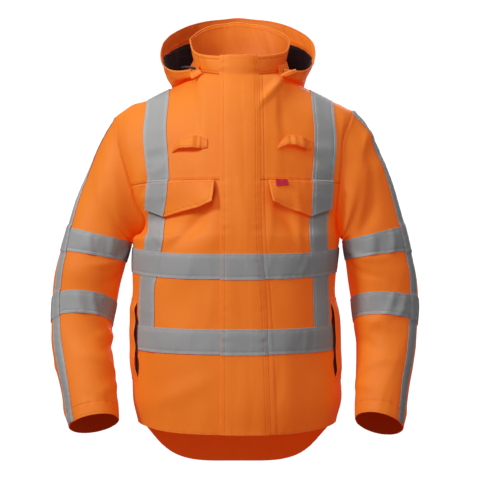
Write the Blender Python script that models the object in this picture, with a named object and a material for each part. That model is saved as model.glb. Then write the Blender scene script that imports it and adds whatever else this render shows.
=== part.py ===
"""High-visibility work jacket in its worn form, hollow, with no wearer.

Metres, +Z up.  The front faces -Y and the wearer's left is at +X.
The origin is the middle of the neck, where the wearer holds the jacket up.
Tables are in millimetres.
"""
import bpy
import numpy as np
from math import asin, cos, pi, radians, sin

MM = 0.001

# Walls
CLOTH = 2.0 * MM              # shell cloth
TAPE = 1.0 * MM               # reflective tape on its backing
LINING = 1.0 * MM
DOUBLE_CLOTH = 2.6 * MM       # flaps and tabs, two layers
SEAM_GAP = 0.3 * MM           # between pieces
TAPE_WIDTH = 50 * MM
STRIPE_WIDTH = 25 * MM

# Body levels
ARMPIT_Z = -322 * MM
YOKE_Z = -216 * MM
FRONT_NECK_Z = -11 * MM
BACK_NECK_Z = 40 * MM
FRONT_NECK_Y = -105 * MM
BACK_NECK_Y = 84 * MM

# One entry a side: -1 is the wearer's right, +1 the wearer's left
SIDES = {"right": -1, "left": 1}
FRONT = -1
BACK = 1
NECK_HALF = {-1: 79 * MM, 1: 91 * MM}
NECK_SIDE_Z = {-1: 4 * MM, 1: 2 * MM}
TIP = {-1: (242 * MM, 8 * MM, -81 * MM), 1: (232 * MM, 8 * MM, -72 * MM)}
SHOULDER_SAG = 3.5 * MM

# Rows of the body below the armpit: heights at the centre and at the side seam
BODY_ROWS = [
    # name, front centre, front side, back centre, back side
    ("hem", -700, -690, -790, -690),
    ("skirt", -648, -642, -690, -642),
    ("skirt_top", -596, -592, -612, -592),
    ("lower_tape_bottom", -548, -543, -543, -543),
    ("lower_tape_top", -499, -494, -493, -493),
    ("waist", -468, -461, -460, -460),
    ("waist_top", -436, -428, -427, -427),
    ("upper_tape_bottom", -405, -394, -394, -394),
    ("upper_tape_top", -356, -344, -344, -344),
    ("armpit", -322, -322, -322, -322),
]
ROW = {entry[0]: index for index, entry in enumerate(BODY_ROWS)}
# Shares of the way up the armhole for the rows above the armpit
ARMHOLE_SHARES = [0.1, 0.2, 0.3, 0.37, 0.44, 0.55, 0.67, 0.78, 0.89, 1.0]
YOKE_SHARE = 0.44
YOKE_ROW = len(BODY_ROWS) + ARMHOLE_SHARES.index(YOKE_SHARE)
TOP_ROW = len(BODY_ROWS) + len(ARMHOLE_SHARES) - 1
ARMPIT_ROW = ROW["armpit"]

# Half widths and depths of the body
BODY_FORM = [
    # z, half width right, half width left, front depth, back depth
    (-790, 196, 196, 158, 142),
    (-698, 203, 203, 164, 146),
    (-670, 206, 208, 167, 148),
    (-622, 208, 208, 168, 148),
    (-562, 210, 203, 169, 147),
    (-502, 210, 202, 169, 146),
    (-454, 210, 198, 169, 145),
    (-418, 208, 195, 170, 145),
    (-370, 210, 201, 171, 146),
    (-322, 205, 204, 172, 146),
]
FRONT_ROUNDNESS = 2.2
BACK_ROUNDNESS = 2.3
CORNER = 4                    # how late a row turns up towards the side seam

ARMHOLE_DEPTH = {FRONT: 74 * MM, BACK: 82 * MM}
ARMHOLE_INSET = [
    # share up the armhole, right inset, left inset
    (0.0, 0, 0),
    (0.11, 16, 6),
    (0.24, 29, 12),
    (0.33, 19, 14),
    (0.45, 13, 15),
    (0.55, 7, 15),
    (0.67, 1, 16),
    (0.82, 0, 6),
    (1.0, 0, 0),
]
BACK_INSET = 0.5              # the back armhole is cut in less than the front
ARMHOLE_BLUNT = 1.15          # how bluntly the body meets the armhole
BLUNT_SHARE = 0.25            # share up the armhole where it is fully so
SHOULDER_ROLL = 2.2           # exponent of the roll over the shoulder

# Lines along the front and back that pieces are sewn on
FLAP_EDGE = [
    # z, right edge, left edge
    (-700, 30, 62),
    (-600, 30, 59),
    (-430, 30, 53),
    (-350, 30, 47),
    (-100, 32, 43),
    (-11, 33, 42),
]
BRACE_LINE = [
    # z, right, left
    (-700, 178, 170),
    (-500, 176, 166),
    (-420, 174, 164),
    (-352, 164, 160),
    (-282, 155, 158),
    (-216, 152, 165),
    (-160, 155, 170),
    (-100, 159, 172),
    (-40, 156, 168),
]
BACK_BRACE = 150 * MM
BACK_COLUMN = 40 * MM

# Columns, from the centre line out to the side seam or the armhole
FLAP_COLUMN = 2
NECK_COLUMN = 6
BRACE_IN = 8
BRACE_MID = 9
BRACE_OUT = 10
SIDE_COLUMN = 13

# Soft folds of the body: a line from one place to the other, pushed out or in
BODY_FOLDS = [
    # face, x0, z0, x1, z1, half width, height
    (FRONT, 84, -20, 46, -70, 13, 7),
    (FRONT, 70, -60, 120, -120, 22, -4),
    (FRONT, -60, -255, -128, -330, 22, -6),
    (FRONT, -35, -310, -120, -420, 26, 3),
    (FRONT, 75, -270, 130, -330, 20, -6),
    (FRONT, 112, -250, 122, -345, 10, 5),
    (FRONT, -190, -180, -196, -280, 12, 5),
    (FRONT, -60, -600, -150, -640, 20, 4),
    (FRONT, 110, -560, 135, -690, 22, -5),
    (FRONT, -120, -410, -110, -495, 24, -3),
    (FRONT, 90, -415, 130, -490, 22, 3),
    (BACK, 100, -160, 40, -330, 30, -6),
    (BACK, -100, -150, -60, -330, 30, -6),
    (BACK, 170, -220, 130, -330, 16, 6),
    (BACK, -170, -220, -135, -330, 16, 6),
    (BACK, 70, -560, 90, -740, 26, 6),
    (BACK, -90, -540, -80, -750, 26, -5),
]

# Sleeves: rings from the shoulder to the cuff
SLEEVE_RIGHT = [
    # outer x, outer z, inner x, inner z, middle y, half depth, lean
    (-272, -136, -205.5, -324.5, 5, 90, 0),
    (-300, -200, -206.5, -327, 4, 88, 0),
    (-322, -254, -208, -330, 3, 85, 0),
    (-338, -304, -210.5, -334, 2, 82, 1),
    (-352, -352, -221, -374, 0, 78, 4),
    (-362, -396, -232, -412, -3, 76, 10),
    (-368, -449, -241, -456, -8, 74, 19),
    (-369, -494, -248, -497, -16, 72, 20),
    (-367, -537, -248, -537, -29, 69, 21),
    (-359, -576, -244, -570, -42, 67, 22),
    (-347, -622, -239, -612, -59, 64, 22),
    (-336, -664, -232, -648, -75, 61, 23),
    (-327, -696, -229, -677, -86, 59, 23),
]
SLEEVE_LEFT = [
    # outer x, outer z, inner x, inner z, middle y, half depth, lean
    (262, -110, 204.5, -323.5, 5, 90, 0),
    (290, -166, 206, -325.5, 4, 88, 0),
    (314, -228, 208, -328, 3, 85, 0),
    (336, -302, 211, -332, 2, 82, 1),
    (348, -352, 217, -370, 0, 78, 3),
    (358, -402, 222, -409, -2, 76, 8),
    (361, -450, 227, -448, -7, 74, 14),
    (359, -499, 232, -490, -15, 72, 16),
    (356, -535, 236, -531, -27, 69, 18),
    (349, -575, 235, -574, -40, 67, 20),
    (338, -621, 233, -617, -58, 64, 23),
    (330, -666, 231, -648, -76, 61, 25),
    (323, -697, 230, -675, -90, 59, 26),
]
SLEEVES = {-1: SLEEVE_RIGHT, 1: SLEEVE_LEFT}
CAP_SHARE = 0.45              # place of the ring between the armhole and the first plain ring
BAND_RINGS = {"upper": (5, 6), "lower": (8, 9)}
# Folds of the sleeves: ring, place round it in degrees from the outer line
# over the front, half width in rings, half width in degrees, height
SLEEVE_FOLDS = [
    # side, ring, degrees, rings wide, degrees wide, height
    (-1, 6.2, 75, 0.8, 50, 5),
    (-1, 8.8, 110, 0.8, 45, -5),
    (-1, 2.6, 105, 1.2, 30, -6),
    (-1, 2.6, 62, 1.4, 26, 4),
    (1, 2.2, 100, 1.2, 30, -6),
    (1, 1.6, 55, 1.3, 24, 5),
    (1, 6.2, 60, 0.8, 40, 4),
    (1, 9.0, 80, 0.9, 40, -4),
    (-1, 9.6, 250, 0.9, 40, 4),
    (1, 9.6, 250, 0.9, 40, 4),
]
# Narrow tape down each sleeve: ring, degrees from the outer line
STRIPE_LINE = [
    # ring, right, left
    (0, -12, 8),
    (3, -2, 12),
    (5, 20, 16),
    (7, 33, 24),
    (9, 34, 32),
    (12, 33, 34),
    (14, 24, 28),
]
# Columns round the sleeve that its narrow tape lies between
STRIPE_COLUMNS = {-1: (-1, 0), 1: (0, 1)}

# Collar: top edge by bearing round the neck, 0 at the front
COLLAR_TOP = [
    # bearing, height, spread
    (0, 27, -6),
    (30, 29, -2),
    (60, 38, 7),
    (77, 48, 12),
    (90, 66, 15),
    (120, 92, 12),
    (140, 106, 9),
    (180, 117, 6),
]
COLLAR_RISES = [0.0, 0.35, 0.7, 1.0]

# Hood: its folded section at bearings round the neck
HOOD_SECTIONS = [
    # bearing, inner, floor from, floor to, outer and rim: out and z of each
    (54, 101, -5, 104, -9, 109, -10, 112, -4, 114, 4),
    (70, 107, -7, 114, -13, 124, -14, 131, -7, 136, 3),
    (88, 107, -8, 116, -18, 129, -19, 141, 1, 152, 24),
    (108, 110, -4, 120, -22, 138, -22, 151, 16, 161, 68),
    (132, 122, -14, 134, -56, 158, -56, 168, -4, 166, 104),
    (156, 130, -40, 142, -108, 172, -108, 184, -36, 174, 128),
    (180, 134, -50, 146, -128, 178, -126, 190, -46, 178, 138),
]
HOOD_STEPS = 24
HOOD_SHIFT = 2 * MM
HOOD_RUN = [0.0, 0.5, 1.0, 1.5, 2.0, 2.5, 3.0, 3.5, 4.0, 4.5, 5.0]
# Share of the hood's run that the lining covers, by bearing
LINING_TOP = [
    # bearing, run
    (54, 4.8),
    (88, 4.72),
    (108, 4.55),
    (132, 4.7),
    (180, 4.8),
]
LINING_GAP = 0.8 * MM
HOOD_REST = 3 * MM            # least gap between the hood and the shoulders
HOOD_SEAM_GAP = 0.7 * MM
HOOD_SEAM_RISE = 1            # row of the collar that the hood is sewn to

# Pocket flaps: lower edge drop below the yoke seam along the flap
POCKET_FLAPS = {
    # side: inner end, drops at the inner end, the point and the outer end
    -1: (45, 38, 66, 50),
    1: (62, 38, 65, 50),
}
POCKET_TOP = 1.5 * MM         # gap below the yoke seam
POCKET_STAND = {"top": 2.2 * MM, "bottom": 2.5 * MM, "corner": 13 * MM}

# Shares along a flap, 1 at the shoulder tape's inner edge and 2 at its outer, and down it
POCKET_ALONG = [0.0, 0.2, 0.4, 0.6, 0.8, 1.0, 1.5, 2.0]
POCKET_DOWN = [0.0, 0.33, 0.67, 1.0]

# Radio loops: a strap sewn down at its inner end, its other end tucked to a point
RADIO_LOOPS = {
    # side: x, stand, z bottom, z top
    -1: [
        (-124, 1.0, -162, -159),
        (-116, 5.5, -159, -152),
        (-102, 10.0, -155.5, -139.5),
        (-88, 12.0, -155.5, -134),
        (-76, 10.5, -155.5, -132),
        (-69, 5.0, -155, -132.5),
        (-65, 1.2, -155, -133.5),
        (-57, 1.0, -153.5, -136.5),
    ],
    1: [
        (77.5, 1.0, -156, -153),
        (85, 5.5, -151, -143),
        (97, 10.0, -149, -132),
        (112, 12.0, -151, -133),
        (123, 10.5, -154, -134.5),
        (130, 5.0, -155, -135.5),
        (134, 1.2, -155.5, -136),
        (143, 1.0, -156.5, -137),
    ],
}

# Welts of the side pockets: how far the free front edge stands off
WELT_ROWS = [
    # z, stand right, stand left, stand at the sewn edge
    (-606, 2.0, 2.0, 0.6),
    (-584, 3.5, 3.2, 0.6),
    (-560, 5.5, 3.8, 1.9),
    (-538, 4.0, 3.2, 1.9),
    (-512, 5.5, 4.2, 1.9),
    (-488, 3.4, 4.6, 1.9),
    (-466, 4.5, 3.0, 0.6),
    (-444, 2.0, 2.0, 0.6),
]
WELT_DEPTHS = [-70, -48, -24, -3]

# Turned-out tabs at the ends of the hood: upper row and lower row
HOOD_TABS = {
    -1: ([(-92, -70.5, -3), (-82, -67, 5), (-72, -70, 3)],
         [(-88, -83, -15), (-79, -82, -10), (-70, -81, -4)]),
    1: ([(87, -79, -6), (101, -70, 1), (115, -57.5, 6)],
        [(88, -84, -11), (103, -77, -7), (118, -61.5, 0)]),
}
# Free end of the hood's cord, on the right
CORD_END = ((-93, -70.2, 7.5), (-83, -70, 5.5))
CORD_RADIUS = 2.4 * MM
CORD_SIDES = 8
# Places out from the centre and below the yoke seam
LABEL = {"columns": (76, 84, 92, 100), "drops": (13, 7, 1)}
LABEL_GAP = 0.6 * MM

COLOURS = {
    "shell": (0.83, 0.16, 0.02),
    "tape": (0.30, 0.30, 0.30),
    "lining": (0.02, 0.012, 0.018),
    "label": (0.55, 0.02, 0.05),
    "cord": (0.03, 0.02, 0.02),
}


def look_up(table, value, column):
    """Smooth reading of one column of a table against its first column."""
    keys = [row[0] for row in table]
    values = [row[column] for row in table]
    if keys[0] > keys[-1]:
        keys.reverse()
        values.reverse()
    value = min(max(value, keys[0]), keys[-1])
    place = max(min(int(np.searchsorted(keys, value)) - 1, len(keys) - 2), 0)
    slopes = np.gradient(values, keys)
    step = keys[place + 1] - keys[place]
    u = (value - keys[place]) / step
    start, end = values[place], values[place + 1]
    return (start * (1 + 2 * u) * (1 - u) ** 2 + end * u * u * (3 - 2 * u)
            + slopes[place] * step * u * (1 - u) ** 2
            - slopes[place + 1] * step * u * u * (1 - u))


def mix(start, end, share):
    """Value or point between two others."""
    return start + (end - start) * share


def side_column(side, first):
    """Column of a two-sided table."""
    return first if side < 0 else first + 1


def body_half(z, side):
    """Half width of the body at a height."""
    return look_up(BODY_FORM, z / MM, side_column(side, 1)) * MM


def body_depth(z, face):
    """Depth of the front or back at a height."""
    return look_up(BODY_FORM, z / MM, 3 if face == FRONT else 4) * MM


def roundness(face):
    """Exponent of the body's section."""
    return FRONT_ROUNDNESS if face == FRONT else BACK_ROUNDNESS


def out_share(turn, face):
    """How far out a place on a row lies, 0 at the centre and 1 at the side."""
    return sin(turn) ** (2 / roundness(face))


def turn_of(share, face):
    """Turn along a row for a place that far out."""
    return asin(min(max(share, 0.0), 1.0) ** (roundness(face) / 2))


def fold_push(face, x, z):
    """How far the body's folds push a place out."""
    push = 0.0
    for fold_face, x0, z0, x1, z1, half, height in BODY_FOLDS:
        if fold_face != face:
            continue
        run = np.array([x1 - x0, z1 - z0])
        away = np.array([x / MM - x0, z / MM - z0])
        length = float(np.hypot(*run))
        along = float(away @ run) / length ** 2
        across = (away[0] * run[1] - away[1] * run[0]) / length
        beyond = max(-along, along - 1, 0.0) * length
        ends = np.exp(-(beyond / half) ** 2)
        push += height * np.exp(-(across / half) ** 2) * ends
    return push * MM


def lower_place(face, side, row, turn):
    """Point of the body on one of its rows below the armpit."""
    heights = BODY_ROWS[row][1:3] if face == FRONT else BODY_ROWS[row][3:5]
    share = out_share(turn, face)
    z = mix(heights[1], heights[0], 1 - share ** CORNER) * MM
    depth = body_depth(z, face) * cos(turn) ** (2 / roundness(face))
    x = side * body_half(z, side) * share
    return np.array([x, face * (depth + fold_push(face, x, z) * cos(turn)), z])


def armhole_place(face, side, share):
    """Point of the armhole, from the armpit at 0 to the shoulder tip at 1."""
    lift = sin(share * pi / 2) ** 2
    tip_x, tip_y, tip_z = TIP[side]
    inset = look_up(ARMHOLE_INSET, share, side_column(side, 1)) * MM
    if face == BACK:
        inset *= BACK_INSET
    x = mix(body_half(ARMPIT_Z, side), tip_x, lift) - inset
    y = tip_y * lift + face * ARMHOLE_DEPTH[face] * sin(share * pi) ** 0.9
    return np.array([side * x, y, mix(ARMPIT_Z, tip_z, lift)])


def neck_z(face, side, angle):
    """Height of the neck seam, angle 0 at the centre and a quarter turn at the side."""
    centre = FRONT_NECK_Z if face == FRONT else BACK_NECK_Z
    return mix(centre, NECK_SIDE_Z[side], sin(angle) ** 2)


def top_place(face, side, out):
    """Point of the neck seam or the shoulder seam, out from the centre."""
    neck = NECK_HALF[side]
    tip_x, tip_y, tip_z = TIP[side]
    if out < neck:
        angle = asin(out / neck)
        centre_y = FRONT_NECK_Y if face == FRONT else BACK_NECK_Y
        return np.array([side * out, centre_y * cos(angle), neck_z(face, side, angle)])
    share = (out - neck) / (tip_x - neck)
    z = mix(NECK_SIDE_Z[side], tip_z, share) - SHOULDER_SAG * sin(pi * share ** 0.7)
    return np.array([side * out, tip_y * share, z])


def upper_place(face, side, share, turn):
    """Point of the body above the armpit."""
    edge = armhole_place(face, side, share)
    out = out_share(turn, face)
    lift = sin(share * pi / 2) ** 2
    yoke_lift = sin(YOKE_SHARE * pi / 2) ** 2
    top = top_place(face, side, TIP[side][0] * out)
    power = roundness(face)
    blunt = mix(power, ARMHOLE_BLUNT, min(share / BLUNT_SHARE, 1.0))
    base_y = face * body_depth(ARMPIT_Z, face) * (1 - out ** power) ** (1 / blunt)
    yoke_edge = mix(ARMPIT_Z, TIP[side][2], yoke_lift)
    yoke_z = mix(YOKE_Z, yoke_edge, out ** CORNER)
    if lift <= yoke_lift:
        z = mix(ARMPIT_Z, yoke_z, lift / yoke_lift)
    else:
        z = mix(yoke_z, top[2], (lift - yoke_lift) / (1 - yoke_lift))
    rise = min(max((z - ARMPIT_Z) / (top[2] - ARMPIT_Z), 0.0), 1.0)
    neck_share = NECK_HALF[side] / TIP[side][0]
    rolled = min(out / neck_share, 1.0) ** 2
    fall = 1 - rise ** SHOULDER_ROLL
    profile = mix(fall, fall ** (1 / SHOULDER_ROLL), rolled)
    bulge = face * ARMHOLE_DEPTH[face] * sin(share * pi) ** 0.9 * out ** 3
    x = side * abs(edge[0]) * out
    fold = face * fold_push(face, x, z) * cos(turn) * (1 - rise ** 6)
    return np.array([x, mix(top[1], base_y, profile) + bulge + fold, z])


def row_place(face, side, row, turn):
    """Point of the body on any row."""
    if row <= ARMPIT_ROW:
        return lower_place(face, side, row, turn)
    return upper_place(face, side, ARMHOLE_SHARES[row - ARMPIT_ROW - 1], turn)


def row_turns(face, side, row):
    """Turns of a row's columns, so that seams and tapes lie on columns."""
    fine = np.linspace(0, pi / 2, 181)
    points = np.array([row_place(face, side, row, turn) for turn in fine])
    steps = np.linalg.norm(np.diff(points, axis=0), axis=1)
    length = np.concatenate([[0.0], np.cumsum(steps)])
    outs = np.abs(points[:, 0])
    z = points[0, 2] / MM
    if face == FRONT:
        flap = look_up(FLAP_EDGE, z, side_column(side, 1)) * MM
        brace = look_up(BRACE_LINE, z, side_column(side, 1)) * MM
    else:
        flap = BACK_COLUMN
        brace = BACK_BRACE
    if row == TOP_ROW:
        brace = look_up(BRACE_LINE, BRACE_LINE[-1][0], side_column(side, 1)) * MM
    keys = {0: 0.0, FLAP_COLUMN: np.interp(flap, outs, length)}
    middle = np.interp(brace, outs, length)
    keys[BRACE_IN] = middle - TAPE_WIDTH / 2
    keys[BRACE_MID] = middle
    keys[BRACE_OUT] = middle + TAPE_WIDTH / 2
    keys[SIDE_COLUMN] = length[-1]
    even = mix(keys[FLAP_COLUMN], keys[BRACE_IN],
               (NECK_COLUMN - FLAP_COLUMN) / (BRACE_IN - FLAP_COLUMN))
    if row > ARMPIT_ROW:
        share = ARMHOLE_SHARES[row - ARMPIT_ROW - 1]
        neck = np.interp(NECK_HALF[side], outs, length)
        even = mix(even, neck, share ** 2)
    keys[NECK_COLUMN] = even
    lengths = np.interp(range(SIDE_COLUMN + 1), sorted(keys), [keys[key] for key in sorted(keys)])
    return np.interp(lengths, length, fine)


def body_grid(face, side):
    """Points of the front or back on one side, row by row from the hem up."""
    grid = []
    for row in range(TOP_ROW + 1):
        turns = row_turns(face, side, row)
        grid.append([row_place(face, side, row, turn) for turn in turns])
    grid = np.array(grid)
    for row in range(ARMPIT_ROW + 1, TOP_ROW + 1):
        grid[row, -1] = armhole_place(face, side, ARMHOLE_SHARES[row - ARMPIT_ROW - 1])
    neck = NECK_HALF[side]
    grid[TOP_ROW, NECK_COLUMN] = top_place(face, side, neck)
    return grid


def grid_normals(grid, face):
    """Outward direction at each point of a body grid."""
    along = np.gradient(grid, axis=1)
    up = np.gradient(grid, axis=0)
    normals = np.cross(along, up)
    normals /= np.linalg.norm(normals, axis=2, keepdims=True)
    if np.mean(normals[:, 0, 1]) * face < 0:
        normals = -normals
    return normals


def unit(vector):
    """Vector of length one."""
    return np.asarray(vector) / np.linalg.norm(vector)


def seam_normal(side, face, share):
    """Outward direction shared by the body and the sleeve at the armhole."""
    angle = pi - share * pi
    tip = np.array([side * TIP[side][0], TIP[side][1], TIP[side][2]])
    armpit = np.array([side * body_half(ARMPIT_Z, side), 0, ARMPIT_Z])
    upward = unit(tip - armpit)
    return unit(upward * cos(angle) + np.array([0, face * sin(angle), 0]))


def column(face, number):
    """Index of a signed column in a face; both faces run the same way round the body."""
    return SIDE_COLUMN + face * number


def full_face(face):
    """Grid and outward directions of the whole front or back."""
    halves = {side: body_grid(face, side) for side in (-1, 1)}
    grid = np.concatenate([halves[-face][:, :0:-1], halves[face]], axis=1)
    normals = grid_normals(grid, face)
    for side in (-1, 1):
        edge = column(face, side * SIDE_COLUMN)
        for row in range(TOP_ROW + 1):
            if row < ARMPIT_ROW:
                normals[row, edge] = (side, 0, 0)
            else:
                share = 0 if row == ARMPIT_ROW else ARMHOLE_SHARES[row - ARMPIT_ROW - 1]
                normals[row, edge] = seam_normal(side, face, share)
        tip_x, tip_y, tip_z = TIP[side]
        slope = unit((side * (NECK_SIDE_Z[side] - tip_z), 0, tip_x - NECK_HALF[side]))
        for number in range(NECK_COLUMN, SIDE_COLUMN):
            normals[TOP_ROW, column(face, side * number)] = slope
    return grid, normals


FRONT_GRID, FRONT_NORMALS = full_face(FRONT)
BACK_GRID, BACK_NORMALS = full_face(BACK)


def make_material(name):
    """Plain material of one finish."""
    material = bpy.data.materials.new(name)
    material.use_nodes = True
    shader = material.node_tree.nodes["Principled BSDF"]
    shader.inputs["Base Color"].default_value = (*COLOURS[name], 1)
    shader.inputs["Roughness"].default_value = 0.45 if name == "tape" else 0.8
    shader.inputs["Metallic"].default_value = 0.0
    return material


def add_object(name, vertices, faces, material):
    """Object from points and faces, smooth but for its edges."""
    mesh = bpy.data.meshes.new(name)
    mesh.from_pydata([tuple(point) for point in vertices], [], faces)
    mesh.materials.append(material)
    mesh.shade_smooth()
    mesh.set_sharp_from_angle(angle=radians(40))
    piece = bpy.data.objects.new(name, mesh)
    bpy.context.collection.objects.link(piece)
    return piece


def signed_volume(vertices, faces):
    """Volume inside a closed mesh, negative where its faces point in."""
    total = 0.0
    for face in faces:
        for second in range(1, len(face) - 1):
            a, b, c = vertices[face[0]], vertices[face[second]], vertices[face[second + 1]]
            total += float(np.dot(a, np.cross(b, c)))
    return total


def wall(name, outer, inner, material, ring=False):
    """Closed wall between two grids; a ring joins its last column to its first."""
    rows, columns = outer.shape[:2]
    vertices = np.concatenate([outer.reshape(-1, 3), inner.reshape(-1, 3)])
    back = rows * columns
    faces = []

    def place(row, number):
        return row * columns + number % columns

    spans = columns if ring else columns - 1
    for row in range(rows - 1):
        for number in range(spans):
            near, along = place(row, number), place(row, number + 1)
            far, up = place(row + 1, number + 1), place(row + 1, number)
            for triangle in ([near, along, far], [near, far, up]):
                faces.append(triangle)
                faces.append([corner + back for corner in reversed(triangle)])
    rim = [[(0, number), (0, number + 1)] for number in range(spans)]
    rim += [[(rows - 1, number + 1), (rows - 1, number)] for number in range(spans)]
    if not ring:
        rim += [[(row + 1, 0), (row, 0)] for row in range(rows - 1)]
        rim += [[(row, columns - 1), (row + 1, columns - 1)] for row in range(rows - 1)]
    for start, end in rim:
        first, second = place(*start), place(*end)
        faces.append([second, first, first + back, second + back])
    if signed_volume(vertices, faces) < 0:
        faces = [list(reversed(face)) for face in faces]
    return add_object(name, vertices, faces, material)


def inset_edges(grid, gaps):
    """Grid with its edges drawn in along the cloth.

    gaps are for the first row, last row, first column and last column.
    """
    grid = grid.copy()
    for gap, edge, inside in (
            (gaps[0], np.s_[0, :], np.s_[1, :]), (gaps[1], np.s_[-1, :], np.s_[-2, :]),
            (gaps[2], np.s_[:, 0], np.s_[:, 1]), (gaps[3], np.s_[:, -1], np.s_[:, -2])):
        if gap:
            away = grid[inside] - grid[edge]
            away /= np.linalg.norm(away, axis=1, keepdims=True)
            grid[edge] += away * gap
    return grid


def cloth_piece(name, grid, normals, material, gaps, lift=0.0, thickness=CLOTH):
    """Wall whose outer face lies lift above the grid, or whose inner face does if lift is set."""
    grid = inset_edges(grid, gaps)
    if np.ndim(lift) or lift:
        lift = np.broadcast_to(lift, grid.shape[:2])[..., None]
        return wall(name, grid + normals * (lift + thickness), grid + normals * lift, material)
    return wall(name, grid, grid - normals * thickness, material)


def build_panels(shell):
    """Fronts, yokes and back."""
    half = SEAM_GAP / 2
    middle = column(FRONT, 0)
    spans = {"left": slice(0, middle + 1), "right": slice(middle, None)}
    for name, columns in spans.items():
        lower = slice(0, YOKE_ROW + 1)
        upper = slice(YOKE_ROW, TOP_ROW + 1)
        cloth_piece(f"front_{name}", FRONT_GRID[lower, columns], FRONT_NORMALS[lower, columns],
                    shell, (0, half, half, half))
        cloth_piece(f"yoke_{name}", FRONT_GRID[upper, columns], FRONT_NORMALS[upper, columns],
                    shell, (half, half, half, half))
    cloth_piece("back", BACK_GRID, BACK_NORMALS, shell, (0, half, half, half))


def neck_ring():
    """Neck seam from the front centre round by the right to the front centre."""
    front = FRONT_GRID[TOP_ROW]
    back = BACK_GRID[TOP_ROW]
    order = [front[column(FRONT, -number)] for number in range(NECK_COLUMN + 1)]
    order += [back[column(BACK, number)] for number in range(1 - NECK_COLUMN, NECK_COLUMN)]
    order += [front[column(FRONT, NECK_COLUMN - number)] for number in range(NECK_COLUMN + 1)]
    return np.array(order)


def neck_bearing(point):
    """Bearing of a point round the neck, 0 at the front and 180 at the back."""
    return np.degrees(np.arctan2(abs(point[0]), -point[1]))


def collar_grid():
    """Outer points of the collar from its seam to its top edge, and their directions."""
    base = neck_ring() + (0, 0, 2 * SEAM_GAP)
    rows = []
    for rise in COLLAR_RISES:
        row = []
        for point in base:
            bearing = neck_bearing(point)
            height = look_up(COLLAR_TOP, bearing, 1) * MM
            spread = look_up(COLLAR_TOP, bearing, 2) * MM
            outward = unit((point[0], point[1], 0))
            place = point + outward * (spread * rise + 1.5 * MM * sin(pi * rise))
            place[2] = mix(point[2], height, rise)
            row.append(place)
        rows.append(row)
    grid = np.array(rows)
    around = np.gradient(grid, axis=1)
    around[:, 0] = around[:, -1] = (-1, 0, 0)
    up = np.gradient(grid, axis=0)
    normals = np.cross(around, up)
    normals /= np.linalg.norm(normals, axis=2, keepdims=True)
    if normals[0, 0, 1] > 0:
        normals = -normals
    return grid, normals


COLLAR = collar_grid()


def build_collar(shell):
    """Stand collar, open at the front under the storm flap."""
    grid, normals = COLLAR
    half = SEAM_GAP / 2
    cloth_piece("collar", grid, normals, shell, (0, 0, half, half), thickness=DOUBLE_CLOTH)


def flap_grid():
    """Points of the storm flap: the fronts' middle columns, then the collar's."""
    columns = slice(column(FRONT, FLAP_COLUMN), column(FRONT, -FLAP_COLUMN) + 1)
    front = FRONT_GRID[:, columns]
    front_normals = FRONT_NORMALS[:, columns]
    collar, collar_normals = COLLAR
    picks = list(range(-1 - FLAP_COLUMN, -1)) + list(range(FLAP_COLUMN + 1))
    upper = collar[1:, picks]
    upper_normals = collar_normals[1:, picks]
    seam = unit(front_normals[-1].mean(axis=0) + collar_normals[0, 0])
    front_normals = front_normals.copy()
    front_normals[-1] = seam
    return (np.concatenate([front, upper]), np.concatenate([front_normals, upper_normals]))


def build_storm_flap(shell, tape):
    """Storm flap with its own stretches of the waist tapes."""
    grid, normals = flap_grid()
    cloth_piece("storm_flap", grid, normals, shell, (0, 0, 0, 0), lift=SEAM_GAP, thickness=DOUBLE_CLOTH)
    on_flap = SEAM_GAP + DOUBLE_CLOTH + SEAM_GAP
    for name in ("upper", "lower"):
        rows = slice(ROW[f"{name}_tape_bottom"], ROW[f"{name}_tape_top"] + 1)
        cloth_piece(f"storm_tape_{name}", grid[rows], normals[rows], tape, (0, 0, 0, 0),
                    lift=on_flap, thickness=TAPE)


def build_waist_tapes(tape):
    """Tapes round the body, over the shoulder tapes, from flap edge to flap edge."""
    over = 2 * SEAM_GAP + TAPE
    edge_gap = 1.5 * MM
    for name in ("upper", "lower"):
        rows = slice(ROW[f"{name}_tape_bottom"], ROW[f"{name}_tape_top"] + 1)
        right = slice(column(FRONT, -FLAP_COLUMN), None)
        left = slice(1, column(FRONT, FLAP_COLUMN) + 1)
        grid = np.concatenate([FRONT_GRID[rows, right], BACK_GRID[rows, 1:], FRONT_GRID[rows, left]], axis=1)
        normals = np.concatenate([FRONT_NORMALS[rows, right], BACK_NORMALS[rows, 1:],
                                  FRONT_NORMALS[rows, left]], axis=1)
        numbers = (list(range(FLAP_COLUMN, SIDE_COLUMN + 1))
                   + [abs(number) for number in range(1 - SIDE_COLUMN, SIDE_COLUMN + 1)]
                   + list(range(SIDE_COLUMN - 1, FLAP_COLUMN - 1, -1)))
        lift = np.array([over if BRACE_IN <= number <= BRACE_OUT else SEAM_GAP for number in numbers])
        cloth_piece(f"waist_tape_{name}", grid, normals, tape, (0, 0, edge_gap, edge_gap),
                    lift=lift[None, :], thickness=TAPE)


def build_braces(tape):
    """Tapes from the lower waist tape over the shoulders and down the back."""
    first = ROW["lower_tape_top"]
    for name, side in SIDES.items():
        across = (BRACE_IN, BRACE_MID, BRACE_OUT)[::-side]
        on_front = [column(FRONT, side * number) for number in across]
        on_back = [column(BACK, side * number) for number in across]
        front = slice(first, TOP_ROW + 1)
        back = slice(TOP_ROW - 1, first - 1, -1)
        grid = np.concatenate([FRONT_GRID[front][:, on_front], BACK_GRID[back][:, on_back]])
        normals = np.concatenate([FRONT_NORMALS[front][:, on_front], BACK_NORMALS[back][:, on_back]])
        gap = 1 * MM
        cloth_piece(f"brace_{name}", grid, normals, tape, (gap, gap, 0, 0), lift=SEAM_GAP, thickness=TAPE)


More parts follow.
